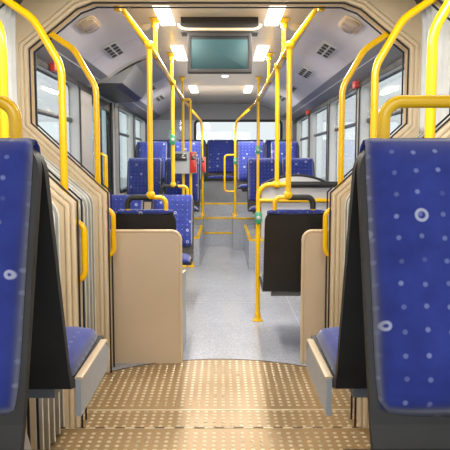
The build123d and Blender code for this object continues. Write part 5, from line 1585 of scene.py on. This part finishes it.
# Matt display glass, lit from behind: teal, lighter upwards as a painted reflection, with a dark line on top.
screen_glow, tree, shader, place = start_material("blank_teal_screen", Roughness=0.45, Emission_Strength=0.10,
                                                   Specular_IOR_Level=0.2)
height = add(tree, "ShaderNodeSeparateXYZ", {0: place}).outputs["Z"]
# Painted reflection: the screen is lighter towards its top.
painted_reflection_fade = add(tree, "ShaderNodeMapRange", {
    "Value": height, "From Min": FLOOR_Z + 1.82, "From Max": FLOOR_Z + 2.06})
teal = add(tree, "ShaderNodeMix", {0: painted_reflection_fade, 6: "183134", 7: "365358"}, data_type="RGBA")
teal = bands(tree, height, teal, [(FLOOR_Z + 2.026, colour("23282b"))])
fill(tree, shader, {"Base Color": teal, "Emission Color": teal})
bezel_path = [at(a, MONITOR_Y, MONITOR_UP + b) for a, b in rounded_outline(0.402, 0.236, 0.010, 4)]
bezel = sweep(bezel_path, bead_section(0.024, 0.007, 0.003, -1), Y, loop=True)
build("monitor_bezel", [bezel], black_moulding, "rear_car")
glass = moulded_block(at(0, MONITOR_Y - 0.0001, MONITOR_UP), X, Z, 0.384, 0.218, 0.0015, 0.006, 0.0005)
build("monitor_screen", [glass], screen_glow, "rear_car")
lip_right = [(0.215, 2.090), (0.236, 2.092), (0.252, 2.099), (0.264, 2.110), (0.270, 2.124)]
lip = [(-x, up) for x, up in reversed(lip_right)] + lip_right
lip_path = [at(x, MONITOR_Y - 0.006, up) for x, up in lip]
build("monitor_housing_edge", [sweep(lip_path, bead_section(0.018, 0.012, 0.005, -1), Y)], cream_moulding,
      "rear_car")

# %% [markdown]
# ## Partitions and skirts
#
# The beige partitions behind the gangway have a cream edge all round their
# free sides, turned over the sheet like a hem. The seat behind the kerb-side
# one has a grey side cover with a cream lip.

# %% Cream edges and seat side
PARTITION_Y = 0.915
PARTITION_EDGE = rounded_outline(0.016, 0.034, 0.006, 3)
SIDE_COVER_X, SIDE_COVER_THICK = -0.2315, 0.0016
edges = []
for side, x_in in ((-1, 0.232), (1, 0.500)):
    corner = arc(x_in + 0.055, 0.755, 0.055, 180, 90, 6)
    outline = [(x_in, 0.003)] + corner + [(1.183, 0.810)]
    edges.append(sweep([at(side * a, PARTITION_Y, up) for a, up in outline], PARTITION_EDGE, Y))
build("partition_edges", edges, cream_moulding, "rear_car")
cover_outline = ((0.927, 0.003), (1.398, 0.003), (1.436, 0.478), (0.927, 0.537))
side_cover = [[at(x, y, up) for y, up in cover_outline]
              for x in (SIDE_COVER_X, SIDE_COVER_X + SIDE_COVER_THICK)]
build("seat_side_cover", [skin(side_cover, ring=True)], grey_side, "rear_car")
side_lip = [at(-0.239, y, up) for y, up in ((0.930, 0.541), (1.440, 0.481))]
build("seat_side_lip", [sweep(side_lip, rounded_outline(0.010, 0.020, 0.004, 2), X)], cream_moulding,
      "rear_car")

# %% [markdown]
# The raised seats over the middle axle have a light skirt with a cream lip.
# Rounded brown covers lie over the boxes that carry them: a rounded outline
# with a little thickness, drawn from the aisle inwards.

# %% Skirt lips and box covers
BOX_MIDDLE_Y = -1.5
BOX_TOP_UP, BOX_BEND = 0.400, 0.122
COVER_LIFT = 0.0024
COVER_END_X = 0.566
lips, covers = [], []
for side, y, facing, up, edge, wall_gap, between, back in FORE_ROWS:
    top = up - 0.068
    outline = [(0.012, top), (0.375, top), (0.419, top - 0.032), (0.419, top - 0.078)]
    lip = [at(side * (edge - 0.008), y + facing * a, b) for a, b in outline]
    lips.append(sweep(lip, rounded_outline(0.010, 0.022, 0.004, 2), X))
for side, edge in ((-1, 0.371), (1, 0.305)):
    arch = ([(-1.702, 0.01), (-1.702, BOX_TOP_UP)] + arc(-1.580, BOX_TOP_UP, BOX_BEND, 180, 90, 6)
            + arc(-1.420, BOX_TOP_UP, BOX_BEND, 90, 0, 6) + [(-1.298, BOX_TOP_UP), (-1.298, 0.01)])
    near_x = edge + 0.012
    rows = []
    for x, lift in ((near_x, 0.0), (near_x, COVER_LIFT), (COVER_END_X, COVER_LIFT), (COVER_END_X, 0.0)):
        rows.append([at(side * x, BOX_MIDDLE_Y + (a - BOX_MIDDLE_Y) * (1 + lift * 4), b + lift)
                     for a, b in arch])
    covers.append(skin(rows))
build("skirt_lips", lips, cream_moulding, "fore_car")
build("seat_box_covers", covers, brown_moulding, "fore_car")
print(len(lips), "skirt lips and", len(covers), "box covers")

# %% [markdown]
# ## Door
#
# The door has two leaves in dark frames. Rubber strips close the gap between
# them and seal their outer edges, and each leaf has a yellow handle inside.

# %% Door seals and handles
for name, body, y_meet, y_hinge, way in (("front", "front_leaf", 3.746, 3.108, -1),
                                         ("rear", "rear_leaf", 3.754, 4.392, 1)):
    seals = []
    for y, inward in ((y_meet, way), (y_hinge, -way)):
        line = [at(-1.2545, y + inward * 0.012, up) for up in (0.010, 1.870)]
        seals.append(sweep(line, rounded_outline(0.022, 0.0405, 0.006, 3), X))
    light = window_path(-1.2352, *sorted((y_meet + way * 0.071, y_hinge - way * 0.071)), 0.098, 1.782, 0.05)
    seals.append(sweep(light, bead_section(0.020, 0.0025, 0.001), X, loop=True))
    build("door_seals_" + name, seals, window_rubber, body, sharp=50)
    bar_y = y_meet + way * 0.040
    bar = [at(x, bar_y, up) for x, up in ((-1.235, 0.72), (-1.185, 0.75), (-1.185, 1.28), (-1.235, 1.31))]
    build("door_handle_" + name, [sweep(bar, round_section(0.013, 10), Y)], rail_coat, body)
    print("seals and handle of the", name, "leaf")

# %% [markdown]
# ## Outside
#
# The photograph shows no outside, so it is finished plainly, as city buses of
# this kind are: pale panels, grey skirts, rubber lips round the wheel arches,
# round lamps. The gangway's hoops are cream as far as the line where the
# cloth is clamped, and painted beyond it. The distance from a rounded outline
# tells the two apart.

# %% Hoops with a painted outside


def diagonal(tree, a, b):
    """Length of the diagonal over two sides."""
    corner = add(tree, "ShaderNodeCombineXYZ", {"X": a, "Y": b})
    return add(tree, "ShaderNodeVectorMath", {0: corner}, operation="LENGTH")


def beyond_cloth(tree, spot):
    """1 outside the line of the bellows cloth and under the floor, else 0."""
    from_middle = add(tree, "ShaderNodeMath", {0: spot["X"]}, operation="ABSOLUTE")
    across = add(tree, "ShaderNodeMath", {0: from_middle, 1: SKIN_MID - SKIN_CORNER}, operation="SUBTRACT")
    rise = add(tree, "ShaderNodeMath", {
        0: spot["Z"], 1: FLOOR_Z + SKIN_TOP_UP - SKIN_CORNER}, operation="SUBTRACT")
    far = diagonal(tree, add(tree, "ShaderNodeMath", {0: across, 1: 0.0}, operation="MAXIMUM"),
                   add(tree, "ShaderNodeMath", {0: rise, 1: 0.0}, operation="MAXIMUM"))
    under = add(tree, "ShaderNodeMapRange", {
        "Value": spot["Z"], "From Min": FLOOR_Z - 0.020, "From Max": FLOOR_Z - 0.024})
    return add(tree, "ShaderNodeMath", {0: beyond(tree, far, SKIN_CORNER), 1: under}, operation="MAXIMUM")


def hoop_finish(name, light, dark):
    """Cream gel coat on the saloon's side of the cloth and paint of two near shades beyond it."""
    material, tree, shader, place = start_material(name, Roughness=0.38)
    spot = add(tree, "ShaderNodeSeparateXYZ", {0: place}).outputs
    cloud = blotches(tree, place, 500)
    cream = add(tree, "ShaderNodeMix", {0: cloud, 6: "d2bc99", 7: "dbc8a8"}, data_type="RGBA")
    painted = add(tree, "ShaderNodeMix", {0: cloud, 6: dark, 7: light}, data_type="RGBA")
    fill(tree, shader, {"Base Color": add(tree, "ShaderNodeMix", {
        0: beyond_cloth(tree, spot), 6: cream, 7: painted}, data_type="RGBA")})
    relief(tree, shader, place, 4, 0.05)
    return material


finish_nodes(hoop_finish("cream_and_sprayed_portal", "d3d6d8", "ced1d3"), ["rear_portal", "fore_portal"])
finish_nodes(hoop_finish("cream_and_black_ring", "3b3e42", "303337"), ["mid_ring"])

# %% [markdown]
# Along the walls run an aluminium rail over the skirt and a gutter at the
# foot of the roof. The rail stops at the door and at the arches, whose lips
# are half-round rubber. Small amber lamps mark the sides.

# %% Rails, gutters, arch lips and side lamps
AXLE_Z = 0.478
ARCH_RADIUS = 0.532
FORE_AXLE_Y, REAR_AXLE_Y = -1.500, 5.400
SKIRT_RAIL_UP = 0.300
GUTTER_Z = 2.365
MARKER_UP = 0.375


def above(x, y, z):
    """A point by its height above the ground."""
    return Vector((x, PIVOT_Y + y, z))


# Anodised aluminium: a satin metal that mirrors the ground as a grey line.
aluminium = plain_material("anodised_aluminium_trim", "a9adb1", "999da2", 120, 0.34, 4, 0.04, Metallic=0.75)
# Moulded acrylic lens: amber under a hard gloss.
amber_lens = plain_material("amber_lens", "d9820f", "c4730b", 50, 0.14, 5, 0.08, Coat_Weight=0.5)
STRETCHES = {
    "rear_car": [(-1, 0.84, 3.06), (-1, 4.44, 4.81), (-1, 5.99, 7.72), (1, 0.84, 4.81), (1, 5.99, 7.72)],
    "fore_car": [(-1, -2.32, -2.09), (1, -2.32, -2.09)],
}
GUTTERS = {"rear_car": (0.84, 7.76), "fore_car": (-2.32, -0.84)}
ARCHES = {"rear_car": REAR_AXLE_Y, "fore_car": FORE_AXLE_Y}
MARKERS = {"rear_car": [(1, 1.50), (1, 3.20), (1, 6.60), (-1, 1.50), (-1, 4.62), (-1, 6.60)], "fore_car": []}
for body in ("rear_car", "fore_car"):
    rails, lips, lenses, sockets = [], [], [], []
    for side, y0, y1 in STRETCHES[body]:
        line = [at(side * HALF, y, SKIRT_RAIL_UP) for y in (y0, y1)]
        rails.append(sweep(line, bead_section(0.034, 0.008, 0.004, side), X))
    for side in (-1, 1):
        line = [above(side * HALF, y, GUTTER_Z) for y in GUTTERS[body]]
        rails.append(sweep(line, bead_section(0.018, 0.009, 0.004, side), X))
        rim = arc(ARCHES[body], AXLE_Z, ARCH_RADIUS + 0.013, -26, 206, 40)
        lip = [above(side * HALF, y, z) for y, z in rim]
        lips.append(sweep(lip, bead_section(0.030, 0.010, 0.005, side), X))
    for side, y in MARKERS[body]:
        place = at(side * HALF, y, MARKER_UP)
        sockets.append(moulded_block(place, Y * side, Z, 0.112, 0.044, 0.005, 0.012, 0.002))
        lenses.append(moulded_block(place + X * side * 0.004, Y * side, Z, 0.096, 0.030, 0.009, 0.009, 0.003))
    build(body + "_outside_rails", rails, aluminium, body, sharp=50)
    build(body + "_arch_lips", lips, window_rubber, body, sharp=50)
    if lenses:
        build(body + "_side_lamp_sockets", sockets, black_moulding, body)
        build(body + "_side_lamps", lenses, amber_lens, body)
    print(body, len(rails), "rails and gutters,", len(lips), "arch lips,", len(lenses), "side lamps")

# %% [markdown]
# The rear lamps are round: red below, amber on top, each in a black rim. The
# flap over the engine has two turn locks. A red outline lamp sits high on each
# rear corner, square to the curve of the roof.

# %% Rear lamps and flap locks
LAMP_X, LAMP_ZS, LAMP_R, TAIL_Y = 1.120, (0.820, 0.960, 1.100), 0.058, 7.900
AMBER_FROM_Z = 1.030
RIB_PITCH = 0.006
OUTLINE_LAMP_LEAN = math.radians(49)
# Ribbed acrylic: the ribs break the gloss into fine lines.
lamp_lens, tree, shader, place = start_material("ribbed_lamp_lens", Roughness=0.14, Coat_Weight=0.5)
height = add(tree, "ShaderNodeSeparateXYZ", {0: place}).outputs["Z"]
cloud = blotches(tree, place, 50)
red = add(tree, "ShaderNodeMix", {0: cloud, 6: "8d0d0c", 7: "a61210"}, data_type="RGBA")
amber = add(tree, "ShaderNodeMix", {0: cloud, 6: "c4730b", 7: "d9820f"}, data_type="RGBA")
ribs = through_pitch(tree, height, RIB_PITCH)
fill(tree, shader, {
    "Base Color": bands(tree, height, red, [(AMBER_FROM_Z, amber)]),
    "Normal": add(tree, "ShaderNodeBump", {"Height": ribs, "Distance": 0.0003, "Strength": 1.0})})
finish_nodes(lamp_lens, ["tail_lamps"])
RIM_PROFILE = [(LAMP_R + 0.0006, 0), (0.074, 0), (0.073, 0.008), (0.068, 0.0135), (LAMP_R + 0.0006, 0.0145)]
LOCK_PROFILE = [(0.020, 0), (0.020, 0.004), (0.016, 0.007), (0.007, 0.007), (0.006, 0.004)]
rims = [turned(RIM_PROFILE, above(side * LAMP_X, TAIL_Y, z), Y, 28, loop=True)
        for side in (-1, 1) for z in LAMP_ZS]
build("tail_lamp_rims", rims, black_moulding, "rear_car")
locks = [turned(LOCK_PROFILE, above(x, TAIL_Y, 0.620), Y, 16) for x in (-0.80, 0.80)]
build("flap_locks", locks, steel_grey, "rear_car")
bases, lenses = [], []
for side in (-1, 1):
    out = Vector((side * math.cos(OUTLINE_LAMP_LEAN), 0, math.sin(OUTLINE_LAMP_LEAN)))
    right = Y * side
    up = out.cross(right)
    surface = above(side * 1.163, 7.782, 2.821)
    bases.append(moulded_block(surface - out * 0.002, right, up, 0.136, 0.084, 0.014, 0.020, 0.003))
    lenses.append(moulded_block(surface + out * 0.011, right, up, 0.106, 0.056, 0.009, 0.016, 0.004))
build("outline_lamp_bases", bases, black_moulding, "rear_car")
build("outline_lamps", lenses, red_lens, "rear_car")
print(len(rims), "tail lamp rims,", len(locks), "locks and", len(lenses), "outline lamps")

# %% [markdown]
# ## Wheels
#
# A wheel is one CAD node with its two tyres, so the material changes where
# the rim ends, by the distance from the axle. The tread is drawn the same
# way: grooves by the distance from the middle of the bus, and cross cuts by
# the angle, both painted darker as shade in the recesses. A paler line runs
# round the side of each tyre.

# %% Wheel and tyre finish
HUB_EDGE = 0.098
RIM_EDGE = 0.2855
SIDE_LINE = 0.415
TYRE_EDGE = 0.466
TREAD_CUTS = 72
GROOVE_PITCH = 0.054


def tread_cuts(tree, ahead, rise, from_middle):
    """1 in the grooves round the tyre and in the cuts across it."""
    turn = add(tree, "ShaderNodeMath", {0: ahead, 1: rise}, operation="ARCTAN2")
    turn = through_pitch(tree, turn, math.tau / TREAD_CUTS)
    cuts = add(tree, "ShaderNodeMapRange", {"Value": turn, "From Min": 0.16, "From Max": 0.12})
    across = through_pitch(tree, from_middle, GROOVE_PITCH)
    grooves = add(tree, "ShaderNodeMapRange", {"Value": across, "From Min": 0.20, "From Max": 0.15})
    return add(tree, "ShaderNodeMath", {0: cuts, 1: grooves}, operation="MAXIMUM")


def wheel_finish(name, axle_y):
    """Silver-painted steel rim with a dark hub, in black rubber with a drawn tread."""
    material, tree, shader, place = start_material(name)
    spot = add(tree, "ShaderNodeSeparateXYZ", {0: place}).outputs
    ahead = add(tree, "ShaderNodeMath", {0: spot["Y"], 1: PIVOT_Y + axle_y}, operation="SUBTRACT")
    rise = add(tree, "ShaderNodeMath", {0: spot["Z"], 1: AXLE_Z}, operation="SUBTRACT")
    from_middle = add(tree, "ShaderNodeMath", {0: spot["X"]}, operation="ABSOLUTE")
    far = diagonal(tree, ahead, rise)
    rubber_share = beyond(tree, far, RIM_EDGE)
    cloud = blotches(tree, place, 80)
    hub = add(tree, "ShaderNodeMix", {0: cloud, 6: "3a3d41", 7: "484b50"}, data_type="RGBA")
    silver = add(tree, "ShaderNodeMix", {0: cloud, 6: "8d9196", 7: "a4a8ac"}, data_type="RGBA")
    metal = bands(tree, far, hub, [(HUB_EDGE, silver)])
    tread = add(tree, "ShaderNodeMath", {
        0: tread_cuts(tree, ahead, rise, from_middle), 1: beyond(tree, far, TYRE_EDGE)}, operation="MULTIPLY")
    line = add(tree, "ShaderNodeMapRange", {
        "Value": apart(tree, far, SIDE_LINE), "From Min": 0.0045, "From Max": 0.0025})
    rubber = add(tree, "ShaderNodeMix", {0: cloud, 6: "1b1c1e", 7: "292a2c"}, data_type="RGBA")
    rubber = add(tree, "ShaderNodeMix", {0: line, 6: rubber, 7: "3a3b3d"}, data_type="RGBA")
    # Painted shade: the grooves and cuts are darker than the tread.
    rubber = add(tree, "ShaderNodeMix", {0: tread, 6: rubber, 7: "0b0b0c"}, data_type="RGBA")
    grain = add(tree, "ShaderNodeTexNoise", {"Vector": place, "Scale": 1000 / 5, "Detail": 3.0})
    cut_deep = add(tree, "ShaderNodeMath", {0: tread, 1: 3.0}, operation="MULTIPLY")
    height = add(tree, "ShaderNodeMath", {0: grain, 1: cut_deep}, operation="SUBTRACT")
    fill(tree, shader, {
        "Base Color": add(tree, "ShaderNodeMix", {0: rubber_share, 6: metal, 7: rubber}, data_type="RGBA"),
        "Roughness": add(tree, "ShaderNodeMapRange", {"Value": rubber_share, "To Min": 0.36, "To Max": 0.78}),
        "Metallic": add(tree, "ShaderNodeMapRange", {"Value": rubber_share, "To Min": 0.7, "To Max": 0.0}),
        "Normal": add(tree, "ShaderNodeBump", {"Height": height, "Distance": 0.0005, "Strength": 1.0})})
    return material


for end, axle_y in (("fore", FORE_AXLE_Y), ("rear", REAR_AXLE_Y)):
    wheels = ["wheel_" + end + "_" + side_name for side_name in ("kerb", "street")]
    finish_nodes(wheel_finish(end + "_wheel_and_tyres", axle_y), wheels)

# %% [markdown]
# Ten nuts stand round each hub. They are placed on a circle that lies flat,
# with their feet at zero. Then each point's height becomes its distance
# outwards, which turns the whole circle to face the street or the kerb.

# %% Wheel nuts by Geometry Nodes
NUTS = 10
NUT_CIRCLE = 0.143
NUT_RADIUS = 0.017
NUT_HEIGHT = 0.024
WEB_FACE_X = 1.0838
nut_tree, given = size_group("nut_circle", {
    "Nuts": NUTS, "Circle Radius": NUT_CIRCLE, "Nut Radius": NUT_RADIUS, "Nut Height": NUT_HEIGHT,
    "Side": 1.0})
circle_of_nuts = add(nut_tree, "GeometryNodeMeshCircle", {
    "Vertices": given["Nuts"], "Radius": given["Circle Radius"]})
top_radius = add(nut_tree, "ShaderNodeMath", {0: given["Nut Radius"], 1: 0.82}, operation="MULTIPLY")
nut = add(nut_tree, "GeometryNodeMeshCone", {
    "Vertices": 6, "Radius Top": top_radius, "Radius Bottom": given["Nut Radius"],
    "Depth": given["Nut Height"]})
set_out = add(nut_tree, "GeometryNodeInstanceOnPoints", {"Points": circle_of_nuts, "Instance": nut})
real_nuts = add(nut_tree, "GeometryNodeRealizeInstances", {"Geometry": set_out})
where = add(nut_tree, "ShaderNodeSeparateXYZ", {0: add(nut_tree, "GeometryNodeInputPosition")}).outputs
outwards = add(nut_tree, "ShaderNodeMath", {0: where["Z"], 1: given["Side"]}, operation="MULTIPLY")
upwards = add(nut_tree, "ShaderNodeMath", {0: where["X"], 1: given["Side"]}, operation="MULTIPLY")
upwards = add(nut_tree, "ShaderNodeMath", {0: upwards, 1: -1.0}, operation="MULTIPLY")
turned_place = add(nut_tree, "ShaderNodeCombineXYZ", {"X": outwards, "Y": where["Y"], "Z": upwards})
facing_out = add(nut_tree, "GeometryNodeSetPosition", {"Geometry": real_nuts, "Position": turned_place})
nuts_ready = add(nut_tree, "GeometryNodeSetMaterial", {"Geometry": facing_out, "Material": steel_grey})
add(nut_tree, "NodeGroupOutput", {"Geometry": nuts_ready})

for end, axle_y in (("fore", FORE_AXLE_Y), ("rear", REAR_AXLE_Y)):
    for side_name, side in (("kerb", -1), ("street", 1)):
        wheel = end + "_" + side_name
        grown(wheel + "_nuts", nut_tree, {"Side": float(side)}, above(side * WEB_FACE_X, axle_y, AXLE_Z),
              "wheel_" + wheel)

# %% [markdown]
# ## Studio
#
# A pale floor, a pale sky that lights the windows evenly, and large soft
# panels beside the bus and ahead of it. Inside, a small lamp under each lit
# ceiling panel, two in the gangway, one at the rear header and a wide faint
# one that fills the ceiling.

# %% Floor and sky
REACH = 60
floor_mesh = bpy.data.meshes.new("studio_floor")
floor_mesh.from_pydata([(-REACH, -REACH, 0), (REACH, -REACH, 0), (REACH, REACH, 0), (-REACH, REACH, 0)], [],
                       [(0, 1, 2, 3)])
studio_floor = bpy.data.objects.new("studio_floor", floor_mesh)
bpy.context.scene.collection.objects.link(studio_floor)
# Painted concrete: pale, matt and a little cloudy.
floor_mesh.materials.append(plain_material("pale_studio_floor", "dfe1e3", "dadcdf", 3000, 0.7, 20, 0.1))

# The sky is brighter where it is seen, directly or in a mirror, than where it lights.
world = bpy.data.worlds.new("pale_sky")
bpy.context.scene.world = world
world.use_nodes = True
sky_tree = world.node_tree
rays = add(sky_tree, "ShaderNodeLightPath").outputs
seen = add(sky_tree, "ShaderNodeMath", {
    0: rays["Is Camera Ray"], 1: rays["Is Glossy Ray"]}, operation="MAXIMUM")
seen = add(sky_tree, "ShaderNodeMath", {0: seen, 1: rays["Is Transmission Ray"]}, operation="MAXIMUM")
fill(sky_tree, sky_tree.nodes["Background"], {
    "Color": "f6f9fc",
    "Strength": add(sky_tree, "ShaderNodeMapRange", {"Value": seen, "To Min": 0.74, "To Max": 1.0})})

# %% [markdown]
# Each lamp is a rectangle that shines at a point. It is hidden from the
# camera, which would otherwise see it as a white card.

# %% Lamps


def area_lamp(name, place, aim, width, height, power, tint="ffffff"):
    """Rectangular lamp at place that shines at aim, hidden from the camera."""
    data = bpy.data.lights.new(name, "AREA")
    data.shape = "RECTANGLE"
    data.size = width
    data.size_y = height
    data.energy = power
    data.color = colour(tint)[:3]
    lamp = bpy.data.objects.new(name, data)
    lamp.location = place
    lamp.rotation_euler = (Vector(aim) - Vector(place)).to_track_quat("-Z", "Y").to_euler()
    lamp.visible_camera = False
    bpy.context.scene.collection.objects.link(lamp)


area_lamp("soft_panel_street", (9, -6, 7), (0, 0, 1.4), 8, 5, 260)
area_lamp("soft_panel_kerb", (-9, 5, 7), (0, 0, 1.4), 8, 5, 170)
area_lamp("soft_panel_fore", (0, -8.5, 3.4), (0, -2, 1.2), 3.0, 2.4, 70, "fffdf8")
lamp_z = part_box("rear_ceiling_lamps")[0].z - 0.02
for y in (PIVOT_Y + 1.29, PIVOT_Y + 2.83, PIVOT_Y + 5.62):
    for x in (-0.355, 0.355):
        area_lamp("saloon_lamp", (x, y, lamp_z), (x, y, 0), 0.1, 0.7, 19, "fff9f0")
for x in (-0.5, 0.5):
    area_lamp("gangway_lamp", at(x, -1.3, 2.0), at(0, 0.8, 1.75), 0.7, 0.3, 20, "fffaf2")
area_lamp("rear_header_lamp", at(0, 5.2, 1.7), at(0, 7.8, 2.0), 1.2, 0.3, 9, "fffbf5")
area_lamp("saloon_fill", at(0, 3.6, 2.0), at(0, 3.6, 3), 1.0, 5.4, 9, "fffbf5")
